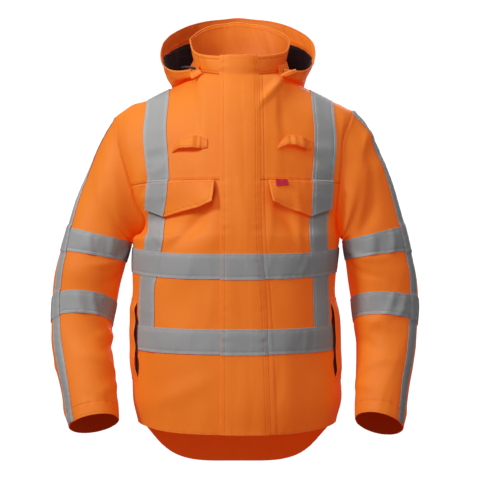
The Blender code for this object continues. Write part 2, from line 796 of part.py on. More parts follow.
def front_place(side, x, z):
    """Point of the front's panels at a place above the armpit, and its outward direction."""
    half = [column(FRONT, side * number) for number in range(SIDE_COLUMN + 1)]
    grid = FRONT_GRID[ARMPIT_ROW - 1:TOP_ROW + 1, half]

    def at(x_value, z_value):
        out = abs(x_value)
        levels = [np.interp(out, side * row[:, 0], row[:, 2]) for row in grid]
        depths = [np.interp(out, side * row[:, 0], row[:, 1]) for row in grid]
        return np.array([x_value, np.interp(z_value, levels, depths), z_value])

    reach = 4 * MM
    middle = at(x, z)
    across = at(x + reach, z) - at(x - reach, z)
    up = at(x, z + reach) - at(x, z - reach)
    return middle, unit(np.cross(across, up))


def stand_off_patch(name, side, places, stands, material, thickness):
    """Wall over the front at given places, standing off it by given amounts."""
    rows, columns = len(places), len(places[0])
    outer = np.zeros((rows, columns, 3))
    inner = np.zeros((rows, columns, 3))
    for row in range(rows):
        for number in range(columns):
            point, normal = front_place(side, *places[row][number])
            inner[row, number] = point + normal * stands[row][number]
            outer[row, number] = point + normal * (stands[row][number] + thickness)
    return wall(name, outer, inner, material)


def brace_edges(side, z):
    """Inner and outer x of the shoulder tape on the front at a height above the armpit."""
    heights = FRONT_GRID[ARMPIT_ROW:TOP_ROW, column(FRONT, side * BRACE_MID), 2]
    inner = FRONT_GRID[ARMPIT_ROW:TOP_ROW, column(FRONT, side * BRACE_IN), 0]
    outer = FRONT_GRID[ARMPIT_ROW:TOP_ROW, column(FRONT, side * BRACE_OUT), 0]
    return float(np.interp(z, heights, inner)), float(np.interp(z, heights, outer))


def flap_stand(share, down):
    """Stand of a pocket flap off the front, from its inner end out and from its top down."""
    corner = POCKET_STAND["corner"] * (1 - share) ** 1.5 * down ** 1.2
    return POCKET_STAND["top"] + POCKET_STAND["bottom"] * down + corner


def build_pocket_flaps(shell, tape):
    """Pointed flaps under the yoke seam, their inner lower corners standing off."""
    for name, side in SIDES.items():
        start, drop_inner, drop_point, drop_outer = POCKET_FLAPS[side]
        places, stands = [], []
        for down in POCKET_DOWN:
            place_row, stand_row = [], []
            for share in POCKET_ALONG:
                drop = np.interp(share, (0, 1, 2), (drop_inner, drop_point, drop_outer)) * MM
                z = YOKE_Z - POCKET_TOP - down * drop
                inner, outer = brace_edges(side, z)
                place_row.append((np.interp(share, (0, 1, 2), (side * start * MM, inner, outer)), z))
                stand_row.append(flap_stand(min(share, 1.0), down))
            places.append(place_row)
            stands.append(stand_row)
        stand_off_patch(f"pocket_flap_{name}", side, places, stands, shell, DOUBLE_CLOTH)
        under_tape = POCKET_ALONG.index(1.0)
        tape_places = [row[under_tape:] for row in places]
        tape_stands = [[stand + DOUBLE_CLOTH + SEAM_GAP for stand in row[under_tape:]] for row in stands]
        stand_off_patch(f"flap_tape_{name}", side, tape_places, tape_stands, tape, TAPE)


def build_radio_loops(shell):
    """Loops on the yokes, sewn down at their ends."""
    for name, side in SIDES.items():
        table = RADIO_LOOPS[side]
        places = [[(x * MM, levels[edge] * MM) for x, _, *levels in table] for edge in (0, 1)]
        stands = [[stand * MM for _, stand, *_ in table]] * 2
        stand_off_patch(f"radio_loop_{name}", side, places, stands, shell, CLOTH)


def build_label(material):
    """Small woven tab hanging from the yoke seam over the left pocket flap."""
    start, drop_inner, drop_point, _ = POCKET_FLAPS[1]
    places, stands = [], []
    for down in LABEL["drops"]:
        place_row, stand_row = [], []
        for x in LABEL["columns"]:
            edge, _ = brace_edges(1, YOKE_Z - down * MM)
            share = (x - start) / (edge / MM - start)
            along = (down - POCKET_TOP / MM) / mix(drop_inner, drop_point, share)
            place_row.append((x * MM, YOKE_Z - down * MM))
            stand_row.append(flap_stand(share, max(along, 0)) + DOUBLE_CLOTH + LABEL_GAP)
        places.append(place_row)
        stands.append(stand_row)
    stand_off_patch("label_tab", 1, places, stands, material, TAPE)


def sleeve_point(side, ring, angle):
    """Point of a sleeve's plain ring; the angle runs from the outer line over the front."""
    outer_x, outer_z, inner_x, inner_z, y, depth, lean = SLEEVES[side][ring]
    outer = np.array([outer_x, y, outer_z]) * MM
    inner = np.array([inner_x, y, inner_z]) * MM
    forward = np.array([0, -cos(radians(lean)), sin(radians(lean))]) * depth * MM
    place = (outer + inner) / 2 + (outer - inner) / 2 * cos(angle) + forward * sin(angle)
    middle = (outer + inner) / 2
    push = 0.0
    for fold_side, fold_ring, degrees, rings_wide, degrees_wide, height in SLEEVE_FOLDS:
        if fold_side == side:
            away = (ring + 1 - fold_ring) / rings_wide
            turn = (np.degrees(angle) - degrees + 180) % 360 - 180
            push += height * np.exp(-away ** 2 - (turn / degrees_wide) ** 2)
    return place + unit(place - middle) * push * MM


ARMHOLE_ANGLES = [pi - share * pi for share in reversed([0.0] + ARMHOLE_SHARES)]
ARMHOLE_ANGLES += [pi + share * pi for share in ARMHOLE_SHARES[:-1]]


def ring_angles(side, ring):
    """Places of the columns round a plain ring: two of them keep the narrow tape's edges."""
    centre = radians(look_up(STRIPE_LINE, ring + 2, side_column(side, 1)))
    reach = 0.05
    step = sleeve_point(side, ring, centre + reach) - sleeve_point(side, ring, centre - reach)
    half = STRIPE_WIDTH / 2 * 2 * reach / np.linalg.norm(step)
    low, high = sorted((angle + pi) % (2 * pi) - pi for angle in
                       (ARMHOLE_ANGLES[number] for number in STRIPE_COLUMNS[side]))
    base = [(angle + pi) % (2 * pi) - pi for angle in ARMHOLE_ANGLES]
    shift = np.interp(base, [-pi, low, high, pi], [0, centre - half - low, centre + half - high, 0])
    return np.array(ARMHOLE_ANGLES) + shift


def sleeve_grid(side):
    """Outer points of a sleeve from the armhole to the cuff, and their directions."""
    shares = [0.0] + ARMHOLE_SHARES
    away = unit((side, 0, -0.25)) * SEAM_GAP
    armhole = [armhole_place(FRONT, side, share) for share in reversed(shares)]
    armhole += [armhole_place(BACK, side, share) for share in shares[1:-1]]
    armhole = np.array(armhole) + away
    plain = [[sleeve_point(side, ring, angle) for angle in ring_angles(side, ring)]
             for ring in range(len(SLEEVES[side]))]
    grid = np.array([armhole, mix(armhole, np.array(plain[0]), CAP_SHARE), *plain])
    wrapped = np.concatenate([grid[:, -1:], grid, grid[:, :1]], axis=1)
    around = (wrapped[:, 2:] - wrapped[:, :-2])
    down = np.gradient(grid, axis=0)
    normals = np.cross(around, down)
    normals /= np.linalg.norm(normals, axis=2, keepdims=True)
    centre = grid.mean(axis=1, keepdims=True)
    if np.sum(normals * (grid - centre)) < 0:
        normals = -normals
    for number, angle in enumerate(ARMHOLE_ANGLES):
        face = FRONT if angle <= pi else BACK
        normals[0, number] = seam_normal(side, face, abs(pi - angle) / pi)
    return grid, normals


def build_sleeves(shell, tape):
    """Sleeves, the tapes round them and the narrow tapes down them."""
    for name, side in SIDES.items():
        grid, normals = sleeve_grid(side)
        wall(f"sleeve_{name}", grid, grid - normals * CLOTH, shell, ring=True)
        for band, (first, last) in BAND_RINGS.items():
            rows = slice(first, last + 1)
            base = grid[rows] + normals[rows] * SEAM_GAP
            wall(f"band_{band}_{name}", base + normals[rows] * TAPE, base, tape, ring=True)
        build_stripe(name, side, grid, normals, tape)


def build_stripe(name, side, grid, normals, tape):
    """Narrow tape down the outside of a sleeve, over its bands."""
    lift = np.full(len(grid), SEAM_GAP)
    for first, last in BAND_RINGS.values():
        lift[first:last + 1] = 2 * SEAM_GAP + TAPE
    columns = list(STRIPE_COLUMNS[side])
    cloth_piece(f"stripe_{name}", grid[:, columns], normals[:, columns], tape, (2 * MM, 0, 0, 0),
                lift=lift[:, None], thickness=TAPE)


def collar_seam(bearing, side):
    """Point on the collar that the hood is sewn to."""
    grid, normals = COLLAR
    line = grid[HOOD_SEAM_RISE] + normals[HOOD_SEAM_RISE] * HOOD_SEAM_GAP
    near = [point for point in line if side * point[0] >= 0]
    near.sort(key=neck_bearing)
    bearings = [neck_bearing(point) for point in near]
    out = np.interp(bearing, bearings, [np.hypot(point[0], point[1]) for point in near])
    return out / MM, np.interp(bearing, bearings, [point[2] for point in near]) / MM


def shoulder_height(x, y):
    """Height of the shoulders and upper back under a place, or none beyond them."""
    side = 1 if x > 0 else -1
    path = []
    for face, rows in ((FRONT, range(YOKE_ROW, TOP_ROW)), (BACK, range(TOP_ROW, YOKE_ROW, -1))):
        grid = FRONT_GRID if face == FRONT else BACK_GRID
        half = [column(face, side * number) for number in range(SIDE_COLUMN + 1)]
        for row in rows:
            points = grid[row, half]
            path.append([np.interp(abs(x), side * points[:, 0], points[:, axis]) for axis in (1, 2)])
    return np.interp(y, [place[0] for place in path], [place[1] for place in path], -1, -1)


def hood_point(bearing, run, side):
    """Point of the hood's folded section, run 0 at the neck seam and 5 at the rim."""
    nodes = [(0, *collar_seam(bearing, side))]
    for node in range(1, 6):
        out = look_up(HOOD_SECTIONS, bearing, 2 * node - 1)
        z = look_up(HOOD_SECTIONS, bearing, 2 * node)
        nodes.append((node, out, z))
    out = look_up(nodes, run, 1) * MM
    z = look_up(nodes, run, 2) * MM
    angle = radians(bearing)
    x = side * out * sin(angle) + HOOD_SHIFT * min(run, 1.0)
    y = -out * cos(angle)
    if run > 0:
        z = max(z, shoulder_height(x, y) + HOOD_REST)
    return np.array([x, y, z])


def hood_grid(runs):
    """Points of the hood from its right front end round the back; runs are by row and column."""
    first = HOOD_SECTIONS[0][0]
    half = HOOD_STEPS // 2
    bearings = list(np.linspace(first, 180, half + 1))
    bearings += bearings[-2::-1]
    grid = np.zeros((*runs.shape, 3))
    for number, bearing in enumerate(bearings):
        side = -1 if number <= half else 1
        for row in range(len(runs)):
            grid[row, number] = hood_point(bearing, runs[row, number], side)
    around = np.gradient(grid, axis=1)
    along = np.gradient(grid, axis=0)
    normals = np.cross(around, along)
    normals /= np.linalg.norm(normals, axis=2, keepdims=True)
    if normals[-1, grid.shape[1] // 2, 1] < 0:
        normals = -normals
    return grid, normals


def lining_grid(base, normals):
    """Points over the hood's inside, up to the lining's edge at each bearing."""
    first = HOOD_SECTIONS[0][0]
    grid, directions = [], []
    for number in range(1, HOOD_STEPS):
        bearing = mix(first, 180, 1 - abs(number - HOOD_STEPS / 2) / (HOOD_STEPS / 2))
        top = look_up(LINING_TOP, bearing, 1)
        whole = [run for run in HOOD_RUN[1:] if run < LINING_TOP[-1][1]]
        runs = whole + [top]
        grid.append([[np.interp(run, HOOD_RUN, base[:, number, axis]) for axis in range(3)] for run in runs])
        directions.append([unit([np.interp(run, HOOD_RUN, normals[:, number, axis]) for axis in range(3)])
                           for run in runs])
    return np.array(grid).transpose(1, 0, 2), np.array(directions).transpose(1, 0, 2)


def build_hood(shell, lining):
    """Hood folded back behind the collar, with its dark lining."""
    runs = np.repeat(np.array(HOOD_RUN)[:, None], HOOD_STEPS + 1, axis=1)
    grid, normals = hood_grid(runs)
    wall("hood", grid, grid - normals * CLOTH, shell)
    base = grid - normals * (CLOTH + LINING_GAP)
    fine, fine_normals = lining_grid(base, normals)
    wall("hood_lining", fine, fine - fine_normals * LINING, lining)


def side_place(side, depth, z):
    """Point of the front's panels near the side seam at a depth, and its outward direction."""
    half = [column(FRONT, side * number) for number in range(BRACE_OUT, SIDE_COLUMN + 1)]
    grid = FRONT_GRID[:ARMPIT_ROW + 1, half]

    def at(depth_value, z_value):
        widths = [np.interp(depth_value, row[:, 1], row[:, 0]) for row in grid]
        levels = [np.interp(depth_value, row[:, 1], row[:, 2]) for row in grid]
        return np.array([np.interp(z_value, levels, widths), depth_value, z_value])

    reach = 3 * MM
    around = at(depth, z) - at(depth - reach, z)
    up = at(depth, z + reach) - at(depth, z - reach)
    normal = unit(np.cross(around, up))
    return at(depth, z), normal if normal[0] * side > 0 else -normal


def build_side_welts(shell):
    """Welts of the side pockets, sewn at the side seams and standing off in front."""
    for name, side in SIDES.items():
        inner, outer = [], []
        for z, right, left, sewn in WELT_ROWS:
            stand = right if side < 0 else left
            inner_row, outer_row = [], []
            for number, depth in enumerate(WELT_DEPTHS):
                free = 1 - number / (len(WELT_DEPTHS) - 1)
                point, normal = side_place(side, depth * MM, z * MM)
                lift = mix(sewn, stand, free) * MM
                inner_row.append(point + normal * lift)
                outer_row.append(point + normal * (lift + CLOTH))
            inner.append(inner_row)
            outer.append(outer_row)
        wall(f"side_welt_{name}", np.array(outer), np.array(inner), shell)


def build_hood_tabs(shell):
    """Turned-out ends of the hood's facing, beside the collar."""
    for name, side in SIDES.items():
        upper, lower = (np.array(row) * MM for row in HOOD_TABS[side])
        grid = np.array([lower, (lower + upper) / 2 + (0, -1.5 * MM, 0), upper])
        wall(f"hood_tab_{name}", grid, grid + (0, DOUBLE_CLOTH, 0), shell)


def build_cord_end(material):
    """Short free end of the hood's cord."""
    start, end = (np.array(place) * MM for place in CORD_END)
    along = unit(end - start)
    across = unit(np.cross(along, (0, 1, 0)))
    other = np.cross(along, across)
    turns = np.linspace(0, 2 * pi, CORD_SIDES, endpoint=False)
    ring = np.array([(across * cos(turn) + other * sin(turn)) * CORD_RADIUS for turn in turns])
    vertices = np.concatenate([start + ring, end + ring])
    faces = [list(range(CORD_SIDES)), list(range(2 * CORD_SIDES - 1, CORD_SIDES - 1, -1))]
    for number in range(CORD_SIDES):
        following = (number + 1) % CORD_SIDES
        faces.append([following, number, number + CORD_SIDES, following + CORD_SIDES])
    if signed_volume(vertices, faces) < 0:
        faces = [list(reversed(face)) for face in faces]
    add_object("cord_end_right", vertices, faces, material)


def main():
    for existing in list(bpy.data.objects):
        bpy.data.objects.remove(existing, do_unlink=True)
    materials = {name: make_material(name) for name in COLOURS}
    shell, tape = materials["shell"], materials["tape"]
    build_panels(shell)
    build_collar(shell)
    build_storm_flap(shell, tape)
    build_waist_tapes(tape)
    build_braces(tape)
    build_pocket_flaps(shell, tape)
    build_radio_loops(shell)
    build_label(materials["label"])
    build_sleeves(shell, tape)
    build_side_welts(shell)
    build_hood(shell, materials["lining"])
    build_hood_tabs(shell)
    build_cord_end(materials["cord"])


main()
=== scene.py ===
from math import asin, cos, pi, radians, sin

import bpy
import numpy as np
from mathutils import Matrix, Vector


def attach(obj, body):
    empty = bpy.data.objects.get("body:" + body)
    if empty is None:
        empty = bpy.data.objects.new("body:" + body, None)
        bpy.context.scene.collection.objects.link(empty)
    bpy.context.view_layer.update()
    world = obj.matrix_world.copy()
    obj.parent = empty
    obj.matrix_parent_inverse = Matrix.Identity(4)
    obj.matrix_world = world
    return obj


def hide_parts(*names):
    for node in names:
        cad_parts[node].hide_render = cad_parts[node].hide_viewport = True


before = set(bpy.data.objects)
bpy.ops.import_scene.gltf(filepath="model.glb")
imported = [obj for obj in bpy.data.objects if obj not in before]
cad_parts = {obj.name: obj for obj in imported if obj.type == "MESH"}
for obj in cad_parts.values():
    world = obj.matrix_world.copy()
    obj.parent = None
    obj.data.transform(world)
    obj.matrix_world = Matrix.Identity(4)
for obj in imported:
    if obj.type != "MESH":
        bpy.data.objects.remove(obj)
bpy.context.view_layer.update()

# hooded hi-vis work jacket, filled out as if worn
# every table is in millimetres, turned into metres when a mesh is made
mm = 0.001
front, back = -1, 1  # the front faces -Y
join = np.concatenate
sides = {"Right": -1, "Left": 1}  # the wearer's own right and left


# reading tables and grids

def mix(start, end, share):
    return start + (end - start) * share


def spread(rows, columns):
    return np.meshgrid(rows, columns, indexing="ij")


def unit(vectors):
    vectors = np.asarray(vectors, float)
    return vectors / np.maximum(np.linalg.norm(vectors, axis=-1, keepdims=True), 1e-9)


def readTable(table, at, column):  # smooth reading of one column against the first
    rows = sorted(table)
    keys = np.array([row[0] for row in rows], float)
    at = np.clip(np.asarray(at, float), keys[0], keys[-1])
    return (splineShares(keys, at.ravel()) @ np.array([row[column] for row in rows], float)).reshape(at.shape)


def splineShares(keys, at, breaks=()):  # how much of each key a smooth curve takes at each place
    shares = np.zeros((len(at), len(keys)))
    ends = [0, *breaks, len(keys) - 1]
    for first, last in zip(ends, ends[1:]):
        part = keys[first:last + 1]
        inside = (at >= part[0] - 1e-6) & (at <= part[-1] + 1e-6)
        spot = at[inside]
        below = np.clip(np.searchsorted(part, spot, side="right") - 1, 0, len(part) - 2)
        whole = np.eye(len(part))
        slopes = np.gradient(whole, part, axis=0)
        step = (part[below + 1] - part[below])[:, None]
        u = ((spot - part[below]) / step[:, 0])[:, None]
        shares[inside, :] = 0
        shares[inside, first:last + 1] = (
            whole[below] * (1 + 2 * u) * (1 - u) ** 2 + whole[below + 1] * u * u * (3 - 2 * u)
            + slopes[below] * step * u * (1 - u) ** 2 - slopes[below + 1] * step * u * u * (1 - u))
    return shares


def cubicShares(u):
    return ((-u ** 3 + 2 * u ** 2 - u) / 2, (3 * u ** 3 - 5 * u ** 2 + 2) / 2,
            (-3 * u ** 3 + 4 * u ** 2 + u) / 2, (u ** 3 - u ** 2) / 2)


def readGrid(grid, rows, columns, ring=False):  # smooth reading between the points of a grid
    rows, columns = np.broadcast_arrays(np.asarray(rows, float), np.asarray(columns, float))
    lastRow, lastColumn = grid.shape[0] - 1, grid.shape[1] - 1
    rows = np.clip(rows, 0, lastRow)
    if not ring:
        columns = np.clip(columns, 0, lastColumn)
    rowFloor, columnFloor = np.floor(rows).astype(int), np.floor(columns).astype(int)
    total = 0.0
    for a, rowShare in enumerate(cubicShares(rows - rowFloor)):
        i = np.clip(rowFloor + a - 1, 0, lastRow)
        for b, columnShare in enumerate(cubicShares(columns - columnFloor)):
            j = columnFloor + b - 1
            j = j % grid.shape[1] if ring else np.clip(j, 0, lastColumn)
            total = total + (rowShare * columnShare)[..., None] * grid[i, j]
    return total


def gridNormals(points, ring=False):
    if ring:
        wrapped = join([points[:, -1:], points, points[:, :1]], axis=1)
        across = wrapped[:, 2:] - wrapped[:, :-2]
    else:
        across = np.gradient(points, axis=1)
    return unit(np.cross(across, np.gradient(points, axis=0)))


def facing(points, outward, ring=False):  # directions out of the cloth, on its outward side
    normals = gridNormals(points, ring)
    return -normals if np.sum(normals * outward) < 0 else normals


def pathLength(points):
    return join([[0], np.cumsum(np.linalg.norm(np.diff(points, axis=0), axis=1))])


def arcs(points, axis):  # length along the cloth from the first row or column
    steps = np.linalg.norm(np.diff(points, axis=axis), axis=2)
    start = np.zeros_like(steps[:1] if axis == 0 else steps[:, :1])
    return np.cumsum(join([start, steps], axis=axis), axis=axis)


def fromEdges(lengths, axis):  # distance from the nearer of two facing edges
    whole = lengths[-1:] if axis == 0 else lengths[:, -1:]
    return np.minimum(lengths, whole - lengths)


def gridLines(last, steps, crowded=()):  # even lines of points, with more of them beside seams
    lines = [np.arange(last * steps + 1) / steps]
    for place, reach, count in crowded:
        lines.append(np.linspace(place - reach, place + reach, count))
    lines = np.unique(np.round(join(lines), 4))
    lines = lines[(lines >= 0) & (lines <= last)]
    return lines[join([[True], np.diff(lines) > 0.004])]


def fineSurface(coarse, rowLines, columnLines, ring=False, topBreaks=()):
    # smooth cloth through a coarse grid; places on it are still given in coarse rows and columns
    rowCount = coarse.shape[0]
    grid, shift = coarse, 0
    if ring:
        grid, shift = join([coarse[:, -3:], coarse, coarse[:, :4]], axis=1), 3
        columnLines = columnLines[columnLines < coarse.shape[1]]
    rowKeys = join([[0], np.cumsum(np.linalg.norm(np.diff(grid, axis=0), axis=2).mean(axis=1))])
    columnKeys = join([[0], np.cumsum(np.linalg.norm(np.diff(grid, axis=1), axis=2).mean(axis=0))])
    columnSpots = np.interp(columnLines + shift, np.arange(grid.shape[1]), columnKeys)
    rowShares = splineShares(rowKeys, np.interp(rowLines, np.arange(rowCount), rowKeys))
    columnShares = splineShares(columnKeys, columnSpots)
    points = np.einsum("ir,rcx,jc->ijx", rowShares, grid, columnShares, optimize=True)
    if topBreaks:
        cornered = splineShares(columnKeys, columnSpots, topBreaks)
        points += rowShares[:, -1, None, None] * ((cornered - columnShares) @ grid[-1])[None]
    return {"points": points, "ring": ring, "rows": rowLines, "columns": columnLines, "wide": coarse.shape[1]}


def measure(surface, outward):  # outward: a rough outward direction for each point
    points = surface["points"]
    surface["normals"] = facing(points, outward, surface["ring"])
    surface["up"], surface["across"] = arcs(points, 0), arcs(points, 1)
    return surface


def pushOut(surface, push, outward):
    surface["points"] = surface["points"] + surface["normals"] * push[..., None]
    return measure(surface, outward)


def lineNumbers(surface, rows, columns):  # coarse places as numbers of the fine lines
    columnLines = surface["columns"]
    if surface["ring"]:
        lap = np.floor(np.asarray(columns, float) / surface["wide"])
        lines = np.append(columnLines, surface["wide"])
        columns = np.interp(np.asarray(columns) - lap * surface["wide"], lines, np.arange(len(lines))) \
            + lap * len(columnLines)
    else:
        columns = np.interp(columns, columnLines, np.arange(len(columnLines)))
    return np.interp(rows, surface["rows"], np.arange(len(surface["rows"]))), columns


def onCloth(surface, rows, columns, lift=0.0):  # points and outward directions at places on the cloth
    spots = lineNumbers(surface, rows, columns)
    points = readGrid(surface["points"], *spots, surface["ring"])
    normals = unit(readGrid(surface["normals"], *spots, surface["ring"]))
    return points + normals * np.asarray(lift)[..., None], normals


def lineAt(surface, axis, place):  # number of the fine row or column at a coarse place
    return int(np.argmin(np.abs(surface[axis] - place)))


def nudge(surface, rows, columns, up=0.0, across=0.0):  # places moved along the cloth by millimetres
    rows, columns = np.broadcast_arrays(np.asarray(rows, float), np.asarray(columns, float))
    reach = 0.08

    def rate(rowReach, columnReach, span):
        ahead, _ = onCloth(surface, rows + rowReach, columns + columnReach)
        behind, _ = onCloth(surface, rows - rowReach, columns - columnReach)
        return np.maximum(np.linalg.norm(ahead - behind, axis=-1) / span, 1)

    rowSpan, columnSpan = [np.minimum(place + reach, surface[axis][-1]) - np.maximum(place - reach, 0)
                           for axis, place in (("rows", rows), ("columns", columns))]
    columnSpan = 2 * reach if surface["ring"] else columnSpan
    return rows + up / rate(reach, 0, rowSpan), columns + across / rate(0, reach, columnSpan)


# folds, seams and unevenness

def hump(away, half):
    return np.exp(-(away / half) ** 2)


def foldHeight(u, v, folds):
    # each fold runs from one place to another: u0, v0, u1, v1, bow, half width, height, lean
    height = np.zeros_like(u)
    for u0, v0, u1, v1, bow, half, peak, lean in folds:
        run = np.array([u1 - u0, v1 - v0], float)
        length = np.hypot(*run)
        along = ((u - u0) * run[0] + (v - v0) * run[1]) / length ** 2
        across = (-(u - u0) * run[1] + (v - v0) * run[0]) / length
        inside = np.clip(along, 0, 1)
        across = across - 4 * bow * inside * (1 - inside)
        width = half * (0.7 + 0.3 * np.sin(pi * inside)) * np.where(across > 0, 1 + lean, 1 - lean)
        beyond = (np.abs(along - inside) * length / half) ** 2
        height += peak * (0.35 + 0.65 * np.sin(pi * inside) ** 0.8) * np.exp(-(across / width) ** 2 - beyond)
    return height


def unevenness(u, v, seed):  # slow waves that keep a panel from looking pressed
    slow = np.sin(u / 41 + 1.4 * np.sin(v / 63 + seed) + seed) * np.sin(v / 52 + 2.1 * seed + 0.9 * np.sin(u / 71))
    quick = np.sin(u / 17 + 1.7 * np.sin(v / 29 + 2 * seed)) * np.sin(v / 19 + seed + 1.3 * np.sin(u / 37))
    return 0.8 * slow + 0.28 * quick


def seamDip(away, depth=1.1, half=2.2):  # a seam lies a little under the cloth beside it
    return -depth * hump(away, half)


def pucker(along, away, height=0.4, reach=9):  # small ripples that sewing leaves beside a seam
    ripple = np.sin(along / 2.7 + 1.6 * np.sin(along / 23)) + 0.6 * np.sin(along / 4.9 + 1.1)
    return height * np.exp(-np.abs(away) / reach) * ripple


def paintedShading(away):  # painted shade: how much darker the cloth is painted along a line of stitches
    return 0.75 * hump(away, 1.0)


def seamPaintedShade(away, half=1.6):  # and the painted shade along a seam
    return hump(away, half)


def smoothStep(value):
    value = np.clip(value, 0, 1)
    return value * value * (3 - 2 * value)


# finishes

plain = {"sewn": (0, 0, 0), "glow": 0.0, "roughness": 0.5, "specular": 0.45, "sheen": 0.2, "pitch": 0.3,
         "height": 0.05, "crumple": 0.0, "twill": True}
finishes = {
    # colour, second tone, the edges' colour (wear, and a painted highlight) and the colour of the painted shading
    # along sewn lines, insides and gaps (paler on tapes, a painted highlight); painted glow; pitch and height of the
    # weave in mm
    "shell": {"colour": (0.52, 0.200, 0.014), "tone": (0.48, 0.176, 0.011), "worn": (0.64, 0.28, 0.05),
              "sewn": (0.33, 0.035, 0.001), "glow": 0.33, "roughness": 0.62, "specular": 0.28, "sheen": 0.06,
              "pitch": 0.9, "height": 0.10, "crumple": 0.30, "twill": False},
    "tape": {"colour": (0.335, 0.333, 0.336), "tone": (0.300, 0.298, 0.302), "worn": (0.45, 0.445, 0.45),
             "sewn": (0.47, 0.465, 0.47), "roughness": 0.66, "specular": 0.22, "sheen": 0.0, "pitch": 0.6,
             "crumple": 0.45, "twill": False},
    "lining": {"colour": (0.016, 0.008, 0.013), "tone": (0.011, 0.006, 0.010), "worn": (0.05, 0.03, 0.04),
               "sewn": (0.04, 0.03, 0.035), "roughness": 0.62, "specular": 0.35, "sheen": 0.25, "pitch": 1.4,
               "height": 0.20, "crumple": 0.4},
    "label": {"colour": (0.56, 0.012, 0.042), "tone": (0.45, 0.008, 0.03), "worn": (0.72, 0.08, 0.12),
              "roughness": 0.6, "specular": 0.3, "pitch": 0.7, "height": 0.14},
    "cord": {"colour": (0.020, 0.012, 0.014), "tone": (0.010, 0.006, 0.008), "worn": (0.08, 0.05, 0.05),
             "roughness": 0.55, "pitch": 1.2, "height": 0.2},
    "shellThread": {"colour": (0.52, 0.17, 0.012), "tone": (0.46, 0.14, 0.010), "worn": (0.6, 0.3, 0.06),
                    "glow": 0.30},
    "crossThread": {"colour": (0.62, 0.30, 0.17), "tone": (0.56, 0.26, 0.14), "worn": (0.8, 0.4, 0.26),
                    "glow": 0.12},
    "tapeThread": {"colour": (0.58, 0.57, 0.575), "tone": (0.50, 0.49, 0.50), "worn": (0.6, 0.6, 0.6)},
    "liningThread": {"colour": (0.06, 0.045, 0.055), "tone": (0.04, 0.03, 0.04), "worn": (0.1, 0.08, 0.09)},
}


def connect(material, socket, value):  # another node's output, or a fixed value
    if isinstance(value, bpy.types.NodeSocket):
        material.node_tree.links.new(value, socket)
    else:
        socket.default_value = value


def addNode(material, kind, sockets=None, output=0, **settings):
    node = material.node_tree.nodes.new("ShaderNode" + kind)
    for key, value in settings.items():
        setattr(node, key, value)
    for key, value in (sockets or {}).items():
        connect(material, node.inputs[key], value)
    return node.outputs[output]


def blendColours(material, share, first, second, way="MIX"):
    return addNode(material, "Mix", {0: share, 6: first, 7: second}, 2, data_type="RGBA", blend_type=way)


def setShader(material, sockets):
    for socket, value in sockets.items():
        connect(material, material.node_tree.nodes["Principled BSDF"].inputs[socket], value)
    return material


def makeFinish(name, look):
    look = {**plain, **look}
    material = bpy.data.materials.new(name)
    material.use_nodes = True

    def add(kind, sockets=None, output=0, **settings):
        return addNode(material, kind, sockets, output, **settings)

    def multiply(first, second):
        return add("Math", {0: first, 1: second}, operation="MULTIPLY")

    cloth = add("UVMap", uv_map="cloth")
    edge, sewn = [add("Attribute", output="Fac", attribute_name=each) for each in ("edgeWearAndHighlight", "paintedShading")]

    # slow change of tone over the panel, then the paler edges (wear with a painted highlight) and the painted shading
    # along the lines of sewing
    drift = add("TexNoise", {"Vector": add("TexCoord", output="Object"), "Scale": 9.0, "Detail": 3.0})
    driftShare = add("MapRange", {"Value": drift, "From Min": 0.35, "From Max": 0.7})
    colour = blendColours(material, driftShare, (*look["colour"], 1), (*look["tone"], 1))
    scuff = add("TexNoise", {"Vector": cloth, "Scale": 160.0, "Detail": 4.0, "Roughness": 0.7})
    scuffShare = add("MapRange", {"Value": scuff, "From Min": 0.42, "From Max": 0.72})
    colour = blendColours(material, multiply(multiply(edge, scuffShare), 0.7), colour, (*look["worn"], 1))
    colour = blendColours(material, multiply(sewn, 0.45), colour, (*look["sewn"], 1))
    # the painted glow weakens where the painted shading lies
    glow = add("Math", {0: sewn, 1: -0.34 * look["glow"], 2: look["glow"]}, operation="MULTIPLY_ADD", use_clamp=True)

    # weave: two sets of ribs at right angles, or one slanted set for a twill
    ribs, cross = [add("TexWave", {"Vector": cloth, "Scale": 0.314 / (look["pitch"] * mm)}, "Fac",
                       wave_type="BANDS", bands_direction=way) for way in ("DIAGONAL" if look["twill"] else "X", "Y")]
    weave = multiply(ribs, cross)
    weaveTone = add("MapRange", {"Value": weave, "To Min": 0.93, "To Max": 1.02})
    crumple = add("TexNoise", {"Vector": cloth, "Scale": 75.0, "Detail": 3.0})
    crumpleBump = add("Bump", {"Height": crumple, "Strength": look["crumple"], "Distance": 0.6 * mm})
    weaveBump = add("Bump", {"Height": weave, "Strength": 0.5, "Distance": look["height"] * mm,
                             "Normal": crumpleBump})
    gloss = add("MapRange", {"Value": scuff, "To Min": look["roughness"] - 0.07, "To Max": look["roughness"] + 0.09})
    return setShader(material, {
        "Base Color": blendColours(material, 1.0, colour, weaveTone, "MULTIPLY"),
        "Roughness": gloss, "Normal": weaveBump, "Specular IOR Level": look["specular"],
        "Sheen Weight": look["sheen"], "Sheen Roughness": 0.5, "Sheen Tint": (*look["worn"], 1),
        # painted glow: a little red emission that keeps the cloth red in its shade, standing in for the dye's
        # fluorescence
        "Emission Color": (1.0, 0.04, 0.0, 1), "Emission Strength": glow})


materials = {name: makeFinish(name, look) for name, look in finishes.items()}
print("finishes made:", len(materials))


# making pieces


def addObject(name, data):
    thing = bpy.data.objects.new(name, data)
    bpy.context.scene.collection.objects.link(thing)
    return thing


